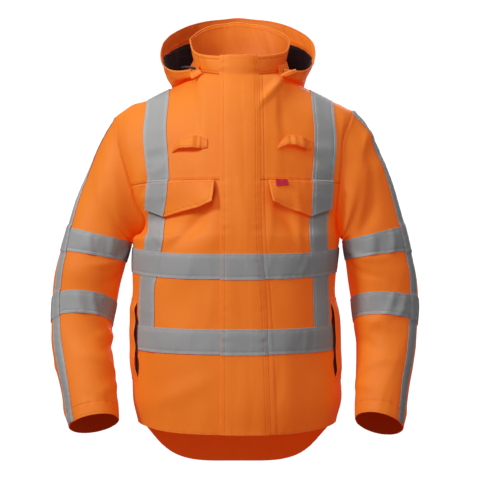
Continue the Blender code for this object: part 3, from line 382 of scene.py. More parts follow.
def meshObject(name, points, faces, uvs, wear, finish, shade=None):
    mesh = bpy.data.meshes.new(name)
    mesh.from_pydata((points * mm).tolist(), [], faces.tolist())
    layer = mesh.uv_layers.new(name="cloth")
    layer.data.foreach_set("uv", (uvs * mm).astype(np.float32).ravel())
    # paler edges (wear with a painted highlight) and painted shading, as attributes
    for label, values in (("edgeWearAndHighlight", wear), ("paintedShading", np.zeros(len(points)) if shade is None else shade)):
        attribute = mesh.attributes.new(label, "FLOAT", "POINT")
        attribute.data.foreach_set("value", values.astype(np.float32))
    mesh.materials.append(materials[finish])
    mesh.shade_smooth()
    mesh.set_sharp_from_angle(angle=radians(38))
    piece = addObject(name, mesh)
    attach(piece, "root")
    return piece


cuts = {}  # name: width, length and area of each flat cut, in metres
# solids whose names don't follow from the piece's own
otherNodes = {"backPanel": "back", "collarStand": "collar", "hoodShell": "hood", "pocketBagRight": "",
              "pocketBagLeft": ""}


def makeCloth(name, outer, normals, thickness, finish, ring=False, wearAndHighlightReach=2.5,
              shade=0.0, inside=0.0):
    # a sheet of cloth with both its faces, closed all round by a rounded edge
    rowCount, columnCount = outer.shape[:2]
    thickness = np.broadcast_to(thickness, outer.shape[:2])
    inner = outer - normals * thickness[..., None]
    spans = columnCount if ring else columnCount - 1
    closed = join([outer, outer[:, :1]], axis=1) if ring else outer
    up, across = arcs(closed, 0), arcs(closed, 1)
    flow = np.stack([across, up], axis=-1)
    away = fromEdges(up[:, :columnCount], 0)
    if not ring:
        away = np.minimum(away, fromEdges(across, 1))
    # paler edges: wear, and a painted highlight along them
    wear = np.exp(-away / wearAndHighlightReach).ravel()
    # painted shading on the outer face (shade) and on the inner face (inside)
    shade, inside = [np.ravel(np.broadcast_to(each, outer.shape[:2])) for each in (shade, inside)]

    r, c = spread(np.arange(rowCount - 1), np.arange(spans))
    corners = [(r, c), (r, c + 1), (r + 1, c + 1), (r + 1, c)]
    quads = np.stack([row * columnCount + column % columnCount for row, column in corners], axis=-1).reshape(-1, 4)
    quadFlow = np.stack([flow[row, column] for row, column in corners], axis=2).reshape(-1, 4, 2)
    size = rowCount * columnCount
    if ring:
        loops = [[(0, n) for n in range(columnCount)], [(rowCount - 1, n) for n in range(columnCount, 0, -1)]]
    else:
        lastRow, lastColumn = rowCount - 1, columnCount - 1
        loops = [[(0, n) for n in range(lastColumn)] + [(n, lastColumn) for n in range(lastRow)]
                 + [(lastRow, n) for n in range(lastColumn, 0, -1)] + [(n, 0) for n in range(lastRow, 0, -1)]]
    points, faces = [outer.reshape(-1, 3), inner.reshape(-1, 3)], [quads, quads[:, ::-1] + size]
    flows, wearsAndHighlights, shades = [quadFlow, quadFlow[:, ::-1]], [wear, wear], [shade, inside]
    count = 2 * size
    for loop in loops:
        rows, columns = np.array(loop).T
        wrapped = columns % columnCount
        near = np.clip(rows, 1, rowCount - 2), wrapped if ring else np.clip(wrapped, 1, columnCount - 2)
        outward = unit(outer[rows, wrapped] - outer[near])
        middle = (outer[rows, wrapped] + inner[rows, wrapped]) / 2
        rim = middle + outward * thickness[rows, wrapped][:, None] * 0.45
        number = np.arange(len(loop))
        nextNumber = (number + 1) % len(loop)
        outside = rows * columnCount + wrapped
        nextOutside = outside[nextNumber]
        edge, nextEdge = count + number, count + nextNumber
        edgeFlow = flow[rows, columns]
        ribbon = np.stack([edgeFlow[nextNumber], edgeFlow, edgeFlow, edgeFlow[nextNumber]], axis=1)
        faces.append(np.stack([nextOutside, outside, edge, nextEdge], axis=1))
        faces.append(np.stack([nextEdge, edge, outside + size, nextOutside + size], axis=1))
        flows += [ribbon, ribbon]
        points.append(rim)
        # the rounded edge is painted paler: wear, and a painted highlight
        wearsAndHighlights.append(0.8 + 0.2 * np.sin(pathLength(middle) / 9))
        shades.append(np.zeros(len(loop)))
        count += len(loop)
    points, faces = join(points), join(faces)
    flows, wearsAndHighlights = join(flows), join(wearsAndHighlights)
    tiles = np.cross(closed[:-1, 1:] - closed[:-1, :-1], closed[1:, :-1] - closed[:-1, :-1])
    if np.sum(tiles[:, :columnCount - 1] * normals[:-1, :-1]) < 0:
        faces, flows = faces[:, ::-1], flows[:, ::-1]
    piece = meshObject(name, points, faces, flows, wearsAndHighlights, finish, join(shades))
    node = otherNodes.get(name, "".join("_" + letter.lower() if letter.isupper() else letter for letter in name))
    if node:
        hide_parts(node)
    width, length = max(across[:, -1].max() * mm, 0.01), max(up[-1].max() * mm, 0.01)
    area = min(np.linalg.norm(tiles, axis=2).sum() * mm * mm, width * length)
    cuts[name] = (round(width, 3), round(length, 3), round(area, 4))


# thread: every stitch is a small rounded bead lying on the cloth; heights and widths are shares of the thread
stitch = {"pitch": 4.5, "length": 3.3, "thread": 0.62, "sides": 4,
          "stations": [0, 0.5, 1], "heights": [-0.25, 0.32, -0.25], "widths": [0.6, 1.05, 0.6]}
threads = {"tape": "tapeThread", "cross": "crossThread", "lining": "liningThread"}  # the rest is shellThread
sewing = {}  # name of the finished piece: lists of points and faces


def tubeFaces(rings, n):  # faces between rings of n points each
    return [[a * n + b, a * n + (b + 1) % n, (a + 1) * n + (b + 1) % n, (a + 1) * n + b]
            for a in range(rings - 1) for b in range(n)]


def sewLine(group, points, normals, pitch=stitch["pitch"]):
    points, normals = np.asarray(points, float), np.asarray(normals, float)
    along = pathLength(points)
    starts = np.arange(pitch / 2, along[-1] - stitch["length"], pitch)
    if not len(starts):
        return
    spots = starts[:, None] + np.array(stitch["stations"])[None] * stitch["length"]
    centres, ups = [np.stack([np.interp(spots, along, each[:, axis]) for axis in range(3)], axis=-1)
                    for each in (points, normals)]
    ups = unit(ups)
    across = unit(np.cross(np.broadcast_to(unit(centres[:, -1] - centres[:, 0])[:, None], ups.shape), ups))
    centres = centres + ups * (np.array(stitch["heights"]) * stitch["thread"])[None, :, None]
    radius = np.array(stitch["widths"]) * stitch["thread"] / 2
    n = stitch["sides"]
    turns = np.arange(n) * 2 * pi / n
    ring = (np.cos(turns)[None, None, :, None] * across[:, :, None]
            + np.sin(turns)[None, None, :, None] * ups[:, :, None])
    beads = centres[:, :, None] + ring * radius[None, :, None, None]
    one = tubeFaces(3, n) + [[3, 2, 1, 0], [2 * n, 2 * n + 1, 2 * n + 2, 2 * n + 3]]
    batch = sewing.setdefault(group, {"points": [], "faces": [], "count": 0})
    offsets = batch["count"] + np.arange(len(starts)) * 3 * n
    batch["faces"].append((offsets[:, None, None] + np.array(one)[None]).reshape(-1, 4))
    batch["points"].append(beads.reshape(-1, 3))
    batch["count"] += len(starts) * 3 * n


def sewOn(group, surface, rows, columns, lift=0.0, up=0.0, across=0.0):
    rows, columns = np.broadcast_arrays(np.asarray(rows, float), np.asarray(columns, float))
    if np.any(up) or np.any(across):
        rows, columns = nudge(surface, rows, columns, up, across)
    sewLine(group, *onCloth(surface, rows, columns, lift))


def sewInside(group, surface, row, columns, thickness, up):
    points, normals = onCloth(surface, *nudge(surface, row, columns, up), -thickness)
    sewLine(group, points, -normals)


def sewRows(group, outer, normals, lines, pitch=stitch["pitch"], count=200, ring=False):
    # each line: from row, to row, from column, to column
    for firstRow, lastRow, firstColumn, lastColumn in lines:
        spots = np.linspace(firstRow, lastRow, count), np.linspace(firstColumn, lastColumn, count)
        sewLine(group, readGrid(outer, *spots, ring), unit(readGrid(normals, *spots, ring)), pitch)


def finishSewing():
    for name, batch in sewing.items():
        points, faces = join(batch["points"]), join(batch["faces"])
        flow = np.stack([points[:, 0] + points[:, 1], points[:, 2]], axis=-1)[faces]
        finish = threads.get(name.split("Stitches")[0], "shellThread")
        meshObject(name, points, faces, flow, np.zeros(len(points)), finish)
        print("sewn:", name, len(faces) // 10, "stitches")


# studio

studio = {
    "camera": (6, -3200, -330), "lens": 120, "sensor": 36,
    "floor": -1450, "floorReach": 5200, "sweep": 1500, "wallTop": 5200, "floorSides": 96,
    "floorColours": [(0.86, 0.86, 0.86, 1), (0.83, 0.83, 0.83, 1)], "floorGlow": 0.90, "ambient": 0.14,
    "lights": [
        # name, place, aim, size, watts, colour
        ("key", (-2400, -1900, 1600), (0, 0, -200), 850, 94, (1.0, 0.99, 0.97)),
        ("front", (-300, -2700, 1350), (0, 0, -200), 1200, 31, (1.0, 1.0, 1.0)),
        ("fill", (2600, -1800, 300), (60, 0, -250), 1900, 8, (0.97, 0.985, 1.0)),
        ("top", (200, 500, 2300), (0, 0, -200), 1800, 30, (1, 1, 1)),
        ("rear", (900, 2600, 700), (0, 0, -300), 2200, 45, (1, 1, 1)),
    ],
}


def makeStudio():
    scene = bpy.context.scene
    scene.view_settings.view_transform = "Standard"
    scene.world = bpy.data.worlds.new("studioAir")
    scene.world.use_nodes = True
    air = scene.world.node_tree.nodes["Background"]
    air.inputs["Color"].default_value = (1, 1, 1, 1)
    air.inputs["Strength"].default_value = studio["ambient"]

    camera = scene.camera = addObject("camera", bpy.data.cameras.new("camera"))
    camera.data.sensor_width, camera.data.lens = studio["sensor"], studio["lens"]
    camera.location = np.array(studio["camera"]) * mm
    camera.rotation_euler = (pi / 2, 0, 0)

    for name, spot, aim, size, watts, colour in studio["lights"]:
        lamp = bpy.data.lights.new(name, "AREA")
        lamp.shape, lamp.size, lamp.energy, lamp.color = "DISK", size * mm, watts, colour
        light = addObject(name, lamp)
        light.location = np.array(spot) * mm
        light.rotation_euler = (Vector(aim) - Vector(spot)).to_track_quat("-Z", "Y").to_euler()

    # floor that sweeps up into a pale wall all round
    reach, sweep, around = studio["floorReach"], studio["sweep"], studio["floorSides"]
    profile = [(0, 0), (reach * 0.5, 0)]
    profile += [(reach + sweep * sin(t), sweep * (1 - cos(t))) for t in np.linspace(0, pi / 2, 12)]
    profile.append((reach + sweep, studio["wallTop"]))
    points = [(radius * cos(t) * mm, radius * sin(t) * mm, (studio["floor"] + z) * mm) for radius, z in profile
              for t in np.linspace(0, 2 * pi, around, endpoint=False)]
    mesh = bpy.data.meshes.new("floor")
    mesh.from_pydata(points, [], tubeFaces(len(profile), around))
    mesh.shade_smooth()
    paint = bpy.data.materials.new("palePaper")
    paint.use_nodes = True
    grain = addNode(paint, "TexNoise", {"Vector": addNode(paint, "TexCoord", output="Object"), "Scale": 3.0})
    share = addNode(paint, "MapRange", {"Value": grain, "To Min": 0.0, "To Max": 0.3})
    mesh.materials.append(setShader(paint, {
        "Base Color": blendColours(paint, share, *studio["floorColours"]), "Roughness": 0.9,
        "Specular IOR Level": 0.1, "Emission Color": (1, 1, 1, 1), "Emission Strength": studio["floorGlow"]}))
    floor = addObject("floor", mesh)
    floor.visible_diffuse = floor.visible_glossy = floor.visible_shadow = False  # the lamps alone light the cloth


makeStudio()
print("studio ready")


# body: two fronts, two yokes and the back

body = {
    "thickness": 2.0, "gap": 0.15,
    "rows": [
        # name, front centre, front side, back centre, back side
        ("hem", -700, -690, -790, -690),
        ("skirt", -648, -642, -690, -642),
        ("skirtTop", -596, -592, -612, -592),
        ("lowerTapeBottom", -548, -543, -543, -543),
        ("lowerTapeTop", -499, -494, -493, -493),
        ("waist", -468, -461, -460, -460),
        ("waistTop", -436, -428, -427, -427),
        ("upperTapeBottom", -405, -394, -394, -394),
        ("upperTapeTop", -356, -344, -344, -344),
        ("armpit", -322, -322, -322, -322),
    ],
    "armholeShares": [0.1, 0.2, 0.3, 0.37, 0.44, 0.55, 0.67, 0.78, 0.89, 1.0],  # rows above the armpit
    "yokeShare": 0.44,
    "form": [
        # z, half width right, half width left, front depth, back depth
        (-790, 196, 196, 158, 142), (-698, 203, 203, 164, 146), (-670, 206, 208, 167, 148),
        (-622, 208, 208, 168, 148), (-562, 210, 203, 169, 147), (-502, 210, 202, 169, 146),
        (-454, 210, 198, 169, 145), (-418, 208, 195, 170, 145), (-370, 210, 201, 171, 146),
        (-322, 205, 204, 172, 146),
    ],
    "roundness": {front: 2.2, back: 2.3}, "corner": 4,
    "armpitZ": -322, "yokeZ": -216,
    "neckHalf": {-1: 79, 1: 91}, "neckSideZ": {-1: 4, 1: 2},
    "neckCentre": {front: (-105, -11), back: (84, 40)},  # y, z
    "tip": {-1: (242, 8, -81), 1: (232, 8, -72)}, "shoulderSag": 3.5,
    "armholeDepth": {front: 74, back: 82}, "backInset": 0.5,
    "armholeInset": [
        # share up the armhole, right, left
        (0.0, 0, 0), (0.11, 16, 6), (0.24, 29, 12), (0.33, 19, 14), (0.45, 13, 15),
        (0.55, 7, 15), (0.67, 1, 16), (0.82, 0, 6), (1.0, 0, 0),
    ],
    "shoulderSwells": {-1: [(209, 20, 6.5), (247, 9, -3)], 1: [(251, 15, 6), (205, 15, 1.5)]},  # out, half, height
    "hemTuck": 7,  # how far the hem's corners draw in
    "insideShade": 1.9,  # painted shade over the empty inside, which also weakens the painted glow there
    "deepShade": [  # painted shadow in the gaps beside the pocket flaps' inner ends
        (-43, -222, -47, -254, 0, 8, 2.4, 0), (-52, -259, -100, -270, 0, 8, 0.8, 0),
        (66, -222, 70, -254, 0, 8, 1.4, 0), (78, -258, 112, -269, 0, 8, 0.8, 0),
    ],
    "blunt": 1.15, "bluntShare": 0.25, "shoulderRoll": 2.2,
    "flapEdge": [
        # z, right edge, left edge
        (-700, 30, 62), (-600, 30, 59), (-430, 30, 53), (-350, 30, 47), (-100, 32, 43), (-11, 33, 42),
    ],
    "braceLine": [
        # z, right, left
        (-700, 178, 170), (-500, 176, 166), (-420, 174, 164), (-352, 164, 160), (-282, 155, 158),
        (-216, 152, 165), (-160, 155, 170), (-100, 159, 172), (-40, 156, 168),
    ],
    "backBrace": 150, "backColumn": 40, "tapeWidth": 50,
    "folds": {
        # x0, z0, x1, z1, bow, half width, height, lean
        front: [
            (88, -16, 44, -68, 1, 8, 7.5, -0.2), (64, -64, 92, -116, 0, 20, -3, 0),
            (-52, -262, -122, -338, 4, 15, -8, 0.2), (-35, -310, -120, -420, 0, 26, 3, 0),
            (70, -262, 132, -335, 3, 15, -7, 0), (112, -250, 122, -345, 0, 10, 5, 0),
            (-190, -180, -196, -280, 0, 12, 5, 0), (-60, -600, -150, -640, 0, 20, 4, 0),
            (84, -545, 92, -700, 0, 62, 9, 0), (118, -540, 140, -700, 0, 30, -6, 0),
            (-120, -410, -110, -495, 0, 24, -3, 0), (90, -415, 130, -490, 0, 22, 3, 0),
            # finer ones
            (-185, -245, -150, -330, -6, 9, 3.2, 0.2), (-170, -190, -188, -245, 5, 8, -2.6, 0),
            (-70, -215, -48, -345, 5, 16, 2.2, 0), (-48, -420, -58, -495, 3, 10, 1.6, 0),
            (-150, -405, -175, -480, -5, 10, 2.2, 0.2), (-75, -560, -60, -690, 4, 18, 2.4, 0),
            (-165, -560, -175, -690, 3, 14, -2.6, 0), (80, -560, 74, -640, 2, 10, -2.0, 0),
            (160, -560, 178, -680, 4, 12, 2.4, 0), (66, -120, 62, -205, 3, 12, -1.0, 0),
            (66, -240, 60, -345, 2, 9, 2.0, 0), (170, -250, 188, -330, 4, 9, 2.6, 0.1),
            (140, -400, 150, -490, 3, 12, -2.2, 0), (-110, -60, -130, -150, 0, 20, 1.8, 0),
            (150, -50, 120, -160, 5, 22, 2.0, 0),
        ],
        back: [
            (100, -160, 40, -330, 0, 30, -6, 0), (-100, -150, -60, -330, 0, 30, -6, 0),
            (170, -220, 130, -330, 0, 16, 6, 0), (-170, -220, -135, -330, 0, 16, 6, 0),
            (70, -560, 90, -740, 0, 26, 6, 0), (-90, -540, -80, -750, 0, 26, -5, 0),
            (190, -250, 150, -360, -8, 10, 3.4, 0.2), (-188, -240, -152, -350, 8, 11, 3.2, -0.2),
            (20, -90, -10, -300, 8, 24, 3.0, 0), (130, -405, 110, -490, 4, 14, 3.0, 0),
            (-60, -405, -85, -490, -5, 14, 2.8, 0), (30, -410, 20, -495, 3, 10, -2.2, 0),
            (-20, -555, -10, -760, 6, 18, 3.2, 0), (150, -560, 165, -690, -4, 15, -3.4, 0),
            (-160, -565, -170, -690, 4, 15, 3.0, 0), (120, -60, 70, -130, 6, 18, 2.4, 0),
            (-125, -60, -70, -140, -6, 18, 2.4, 0),
        ],
    },
    # strip of facing beside the flap's sewn edge: z, width
    "facing": [(-700, 13), (-350, 10), (-216, 9), (-80, 8)], "facingHeight": 0.6,
}
rowOf = {entry[0]: index for index, entry in enumerate(body["rows"])}
armpitRow = rowOf["armpit"]
yokeRow = len(body["rows"]) + body["armholeShares"].index(body["yokeShare"])
topRow = len(body["rows"]) + len(body["armholeShares"]) - 1
# columns from the centre line out to the side seam or the armhole
flapColumn, neckColumn, braceIn, braceMid, braceOut, sideColumn = 2, 6, 8, 9, 10, 13


def columnAt(face, number):  # both faces run the same way round the body
    return sideColumn + face * number


def sideOf(side, first):  # column of a two-sided table
    return first if side < 0 else first + 1


def readSide(table, at, side):
    return readTable(table, at, sideOf(side, 1))


def bodyForm(z, side=None, face=None):  # half width on a side, or depth of a face, at a height
    return readSide(body["form"], z, side) if side else readTable(body["form"], z, 3 + (face == back))


def armholeBulge(face, share):
    return face * body["armholeDepth"][face] * max(sin(share * pi), 0) ** 0.9


def armholePoint(face, side, share):  # from the armpit at 0 to the shoulder tip at 1
    lift = sin(share * pi / 2) ** 2
    tipX, tipY, tipZ = body["tip"][side]
    inset = float(readSide(body["armholeInset"], share, side))
    if face == back:
        inset *= body["backInset"]
    half = float(bodyForm(body["armpitZ"], side))
    return np.array([side * (mix(half, tipX, lift) - inset), tipY * lift + armholeBulge(face, share),
                     mix(body["armpitZ"], tipZ, lift)])


def topPoints(face, side, out):  # neck seam, then shoulder seam
    neck, sideZ = body["neckHalf"][side], body["neckSideZ"][side]
    tipX, tipY, tipZ = body["tip"][side]
    centreY, centreZ = body["neckCentre"][face]
    angle = np.arcsin(np.clip(out / neck, 0, 1))
    share = np.clip((out - neck) / (tipX - neck), 0, 1)
    onNeck = out < neck
    y = np.where(onNeck, centreY * np.cos(angle), tipY * share)
    z = np.where(onNeck, mix(centreZ, sideZ, np.sin(angle) ** 2),
                 mix(sideZ, tipZ, share) - body["shoulderSag"] * np.sin(pi * share ** 0.7))
    return np.stack([side * out, y, z], axis=-1)


def bodyRow(face, side, row, turns):  # points along one row, turn 0 at the centre line
    power = body["roundness"][face]
    out = np.clip(np.sin(turns), 0, 1) ** (2 / power)
    if row <= armpitRow:
        centreZ, sideZ = body["rows"][row][1:3] if face == front else body["rows"][row][3:5]
        z = mix(sideZ, centreZ, 1 - out ** body["corner"])
        depth = bodyForm(z, face=face) * np.clip(np.cos(turns), 0, 1) ** (2 / power)
        return np.stack([side * bodyForm(z, side) * out, face * depth, z], axis=-1)
    share = body["armholeShares"][row - armpitRow - 1]
    edge = armholePoint(face, side, share)
    tipX, _, tipZ = body["tip"][side]
    lift, yokeLift = sin(share * pi / 2) ** 2, sin(body["yokeShare"] * pi / 2) ** 2
    top = topPoints(face, side, tipX * out)
    blunt = mix(power, body["blunt"], min(share / body["bluntShare"], 1.0))
    baseY = face * float(bodyForm(body["armpitZ"], face=face)) * np.clip(1 - out ** power, 0, 1) ** (1 / blunt)
    yokeZ = mix(body["yokeZ"], mix(body["armpitZ"], tipZ, yokeLift), out ** body["corner"])
    if lift <= yokeLift:
        z = mix(body["armpitZ"], yokeZ, lift / yokeLift)
    else:
        z = mix(yokeZ, top[:, 2], (lift - yokeLift) / (1 - yokeLift))
    rise = np.clip((z - body["armpitZ"]) / (top[:, 2] - body["armpitZ"]), 0, 1)
    rolled = np.minimum(out / (body["neckHalf"][side] / tipX), 1) ** 2
    fall = 1 - rise ** body["shoulderRoll"]
    profile = mix(fall, fall ** (1 / body["shoulderRoll"]), rolled)
    y = mix(top[:, 1], baseY, profile) + armholeBulge(face, share) * out ** 3
    return np.stack([side * abs(edge[0]) * out, y, z], axis=-1)


def columnTurns(face, side, row):  # turns that put seams and tapes on columns
    turns = np.linspace(0, pi / 2, 181)
    points = bodyRow(face, side, row, turns)
    length = pathLength(points)
    outs, z = np.abs(points[:, 0]), points[0, 2]
    if face == front:
        flap = float(readSide(body["flapEdge"], z, side))
        brace = float(readSide(body["braceLine"], z, side))
    else:
        flap, brace = body["backColumn"], body["backBrace"]
    if row == topRow:
        brace = float(readSide(body["braceLine"], body["braceLine"][-1][0], side))
    middle = np.interp(brace, outs, length)
    keys = {0: 0.0, flapColumn: np.interp(flap, outs, length), braceIn: middle - body["tapeWidth"] / 2,
            braceMid: middle, braceOut: middle + body["tapeWidth"] / 2, sideColumn: length[-1]}
    even = mix(keys[flapColumn], keys[braceIn], (neckColumn - flapColumn) / (braceIn - flapColumn))
    if row > armpitRow:
        share = body["armholeShares"][row - armpitRow - 1]
        even = mix(even, np.interp(body["neckHalf"][side], outs, length), share ** 2)
    keys[neckColumn] = even
    lengths = np.interp(range(sideColumn + 1), sorted(keys), [keys[key] for key in sorted(keys)])
    return np.interp(lengths, length, turns)


def coarseFace(face):
    halves = {}
    for side in (-1, 1):
        grid = np.array([bodyRow(face, side, row, columnTurns(face, side, row)) for row in range(topRow + 1)])
        for row in range(armpitRow + 1, topRow + 1):
            grid[row, -1] = armholePoint(face, side, body["armholeShares"][row - armpitRow - 1])
        grid[topRow, neckColumn] = topPoints(face, side, np.array([float(body["neckHalf"][side])]))[0]
        halves[side] = grid
    return join([halves[-face][:, :0:-1], halves[face]], axis=1)


def roundShoulders(points):  # the cloth rounds over the end of each shoulder
    for side, swells in body["shoulderSwells"].items():
        out = side * points[..., 0]
        reach = hump(points[..., 1] - 8, 75) * smoothStep((points[..., 2] + 190) / 100)
        for place, half, height in swells:
            points = points + (hump(out - place, half) * reach * height)[..., None] * (0, 0, 1)
    return points


def tuckHem(points):  # the hem's corners draw in a little at the sides
    side, low = np.sign(points[..., 0]), smoothStep((-640 - points[..., 2]) / 60)
    far = smoothStep((np.abs(points[..., 0]) - 120) / 80)
    return points - (side * low * far * body["hemTuck"])[..., None] * (1, 0, 0)


def makeBodySurface(face):
    coarse = coarseFace(face)
    last = 2 * sideColumn
    crowdedRows = [(0, 0.5, 21), (topRow, 0.6, 19)] + [(yokeRow, 0.35, 25)] * (face == front)
    crowdedColumns = [(0, 0.3, 9), (last, 0.3, 9)]
    if face == front:
        crowdedColumns += [(columnAt(front, flapColumn + 0.3), 0.5, 21), (columnAt(front, -flapColumn), 0.2, 7)]
    surface = fineSurface(coarse, gridLines(topRow, 7, crowdedRows), gridLines(last, 5, crowdedColumns),
                          topBreaks=sorted(columnAt(face, side * neckColumn) for side in (-1, 1)))
    points, rows, columns = surface["points"], surface["rows"], surface["columns"]
    # the armhole edge follows its own curve exactly, as the sleeve's head does
    shares = np.interp(rows, range(armpitRow, topRow + 1), [0, *body["armholeShares"]])
    for side in (-1, 1):
        edge = 0 if columnAt(face, side * sideColumn) == 0 else -1
        fade = smoothStep(1 - np.abs(columns - columns[edge]))
        for number in np.flatnonzero(rows >= armpitRow):
            move = armholePoint(face, side, shares[number]) - points[number, edge]
            points[number] += fade[:, None] * move
    points = surface["points"] = tuckHem(roundShoulders(points))
    measure(surface, np.array([0, face, 0]))
    up, across = surface["up"], surface["across"]
    u, v = points[..., 0], points[..., 2]
    toSide, toTop = fromEdges(across, 1), up[-1:] - up
    calm = toSide ** 2 / (toSide ** 2 + 14 ** 2)
    calmTop = toTop ** 2 / (toTop ** 2 + 18 ** 2)
    push = (foldHeight(u, v, body["folds"][face]) + unevenness(u, v, 1.3 if face == front else 4.1)) * calm * calmTop
    push += seamDip(toSide, 0.8 - 0.5 * smoothStep((rows[:, None] - armpitRow + 0.5) / 0.8), 2.0)
    push += pucker(up, toSide, 0.45) * toSide / (toSide + 3)
    push += seamDip(toTop, 0.5)
    push += pucker(across, up - 4, 0.35, 9) + seamDip(up - 3.5, 0.5, 1.2)
    # painted shade along the seams and lines of stitches
    shade = 0.6 * paintedShading(up - 3) + 0.7 * seamPaintedShade(toTop, 2.2)
    shade += 0.6 * seamPaintedShade(toSide, 2.0) + 0.5 * paintedShading(toSide - 6)
    if face == front:
        toYoke = up - up[lineAt(surface, "rows", yokeRow)]
        push += seamDip(toYoke, 1.2, 1.5) + pucker(across, toYoke, 0.4, 9)
        push += 0.7 * hump(toYoke - 4.5, 3) - 0.6 * hump(toYoke - 4.6, 0.9)
        # painted shade along the yoke seam and its stitches
        shade += 0.8 * seamPaintedShade(toYoke, 1.3) + 0.5 * paintedShading(toYoke - 4.8)
        # raised facing along the flap's sewn edge
        edgeAcross = across[:, lineAt(surface, "columns", columnAt(front, flapColumn))][:, None]
        beyond = edgeAcross - across
        width = readTable(body["facing"], v, 1)
        push += body["facingHeight"] * smoothStep((width - beyond) / 1.4) * (beyond > -30)
        push -= 0.3 * hump(beyond - width - 1.0, 1.2)
        # painted shade along the facing's seam and stitches
        shade += 0.15 * seamPaintedShade(beyond - width - 0.6, 1.2) + 0.25 * paintedShading(beyond - width + 2.6)
    # on the front, painted shadow beside the pocket flaps' inner ends
    surface["shade"] = np.clip(shade, 0, 1) + (foldHeight(u, v, body["deepShade"]) if face == front else 0)
    return pushOut(surface, push, np.array([0, face, 0]))


bodySurfaces = {face: makeBodySurface(face) for face in (front, back)}
coarseBody = {face: coarseFace(face) for face in (front, back)}
print("body surfaces shaped")


def insetEdges(points, gap=body["gap"]):  # draws the edges in a little, so that seams have room
    points = points.copy()
    for edge, inside in ((np.s_[0, :], np.s_[1, :]), (np.s_[-1, :], np.s_[-2, :]),
                         (np.s_[:, 0], np.s_[:, 1]), (np.s_[:, -1], np.s_[:, -2])):
        points[edge] += unit(points[inside] - points[edge]) * gap
    return points


def makePanels():
    surface, rear = bodySurfaces[front], bodySurfaces[back]
    middle, yoke = lineAt(surface, "columns", columnAt(front, 0)), lineAt(surface, "rows", yokeRow)
    parts = {"frontLeft": np.s_[:yoke + 1, :middle + 1], "frontRight": np.s_[:yoke + 1, middle:],
             "yokeLeft": np.s_[yoke:, :middle + 1], "yokeRight": np.s_[yoke:, middle:]}
    for name, part in parts.items():
        makeCloth(name, insetEdges(surface["points"][part]), surface["normals"][part], body["thickness"], "shell",
                  shade=surface["shade"][part], inside=body["insideShade"])
    # painted shade over the back's inside, all but the tail's inside, which hangs in the light
    deep = body["insideShade"] * smoothStep((rear["points"][..., 2] + 715) / 90)
    makeCloth("backPanel", insetEdges(rear["points"]), rear["normals"], body["thickness"], "shell",
              shade=rear["shade"], inside=deep)
    # sewing: yoke seam, hems, shoulder seams, side seams and armholes
    out = np.linspace(0, 1, 400)
    wide = mix(0.15, 2 * sideColumn - 0.15, out)
    sewOn("seamStitchesFront", surface, yokeRow, wide, up=4.8)
    sewOn("seamStitchesFront", surface, 0, wide, up=3.2)
    sewOn("seamStitchesBack", rear, 0, wide, up=3.2)
    for side in (-1, 1):
        beyondNeck = mix(columnAt(back, side * (neckColumn + 0.2)), columnAt(back, side * (sideColumn - 0.2)), out)
        sewOn("seamStitchesBack", rear, topRow, beyondNeck, up=-5.0)
        sewOn("seamStitchesBack", rear, mix(0.2, topRow - 0.2, out), columnAt(back, side * sideColumn),
              across=-side * 6)
        sewOn("seamStitchesFront", surface, mix(armpitRow + 0.6, topRow - 0.2, out),
              columnAt(front, side * sideColumn), across=side * 6)
    # the line down the flap's facing
    rows, column = np.linspace(0.1, topRow - 0.6, 500), columnAt(front, flapColumn)
    width = readTable(body["facing"], onCloth(surface, rows, column)[0][:, 2], 1)
    sewOn("seamStitchesFront", surface, rows, column, across=-(width - 2.6))


makePanels()
print("panels made")


# collar

collar = {
    "thickness": 2.6,
    "top": [
        # bearing round the neck with 0 at the front, height, spread
        (0, 27, -6), (30, 29, -2), (60, 38, 7), (77, 48, 12), (90, 66, 15),
        (120, 92, 12), (140, 106, 9), (180, 117, 6),
    ],
    "rises": [0.0, 0.35, 0.7, 1.0],
    "patch": [(-22, 8), (-44, 8), (-44, 26), (-22, 26)],  # mm round from the flap's seam, mm up
    "folds": [
        # mm round from the front, mm up
        (60, 8, 78, 40, 2, 8, 1.8, 0), (330, 10, 318, 44, 2, 9, 1.8, 0), (190, 20, 196, 90, 5, 16, 1.6, 0),
        (110, 10, 100, 60, -3, 10, -1.6, 0), (290, 12, 296, 60, 3, 10, -1.4, 0),
        (172, 30, 180, 100, 4, 7, 2.4, 0), (200, 40, 190, 112, -3, 8, -2.2, 0), (226, 60, 233, 116, 3, 10, 1.6, 0),
        (352, 30, 338, 105, 5, 8, 2.6, 0.2), (374, 20, 364, 90, -4, 7, -2.4, 0), (322, 60, 312, 116, 0, 9, -1.8, 0),
    ],
}


def bearingOf(points):  # degrees round the neck, 0 at the front and 180 at the back
    points = np.atleast_2d(points)
    return np.degrees(np.arctan2(np.abs(points[:, 0]), -points[:, 1]))


def neckRing():  # from the front centre round by the right to the front centre
    ahead, behind = coarseBody[front][topRow], coarseBody[back][topRow]
    ring = [ahead[columnAt(front, -number)] for number in range(neckColumn + 1)]
    ring += [behind[columnAt(back, number)] for number in range(1 - neckColumn, neckColumn)]
    ring += [ahead[columnAt(front, neckColumn - number)] for number in range(neckColumn + 1)]
    return np.array(ring)


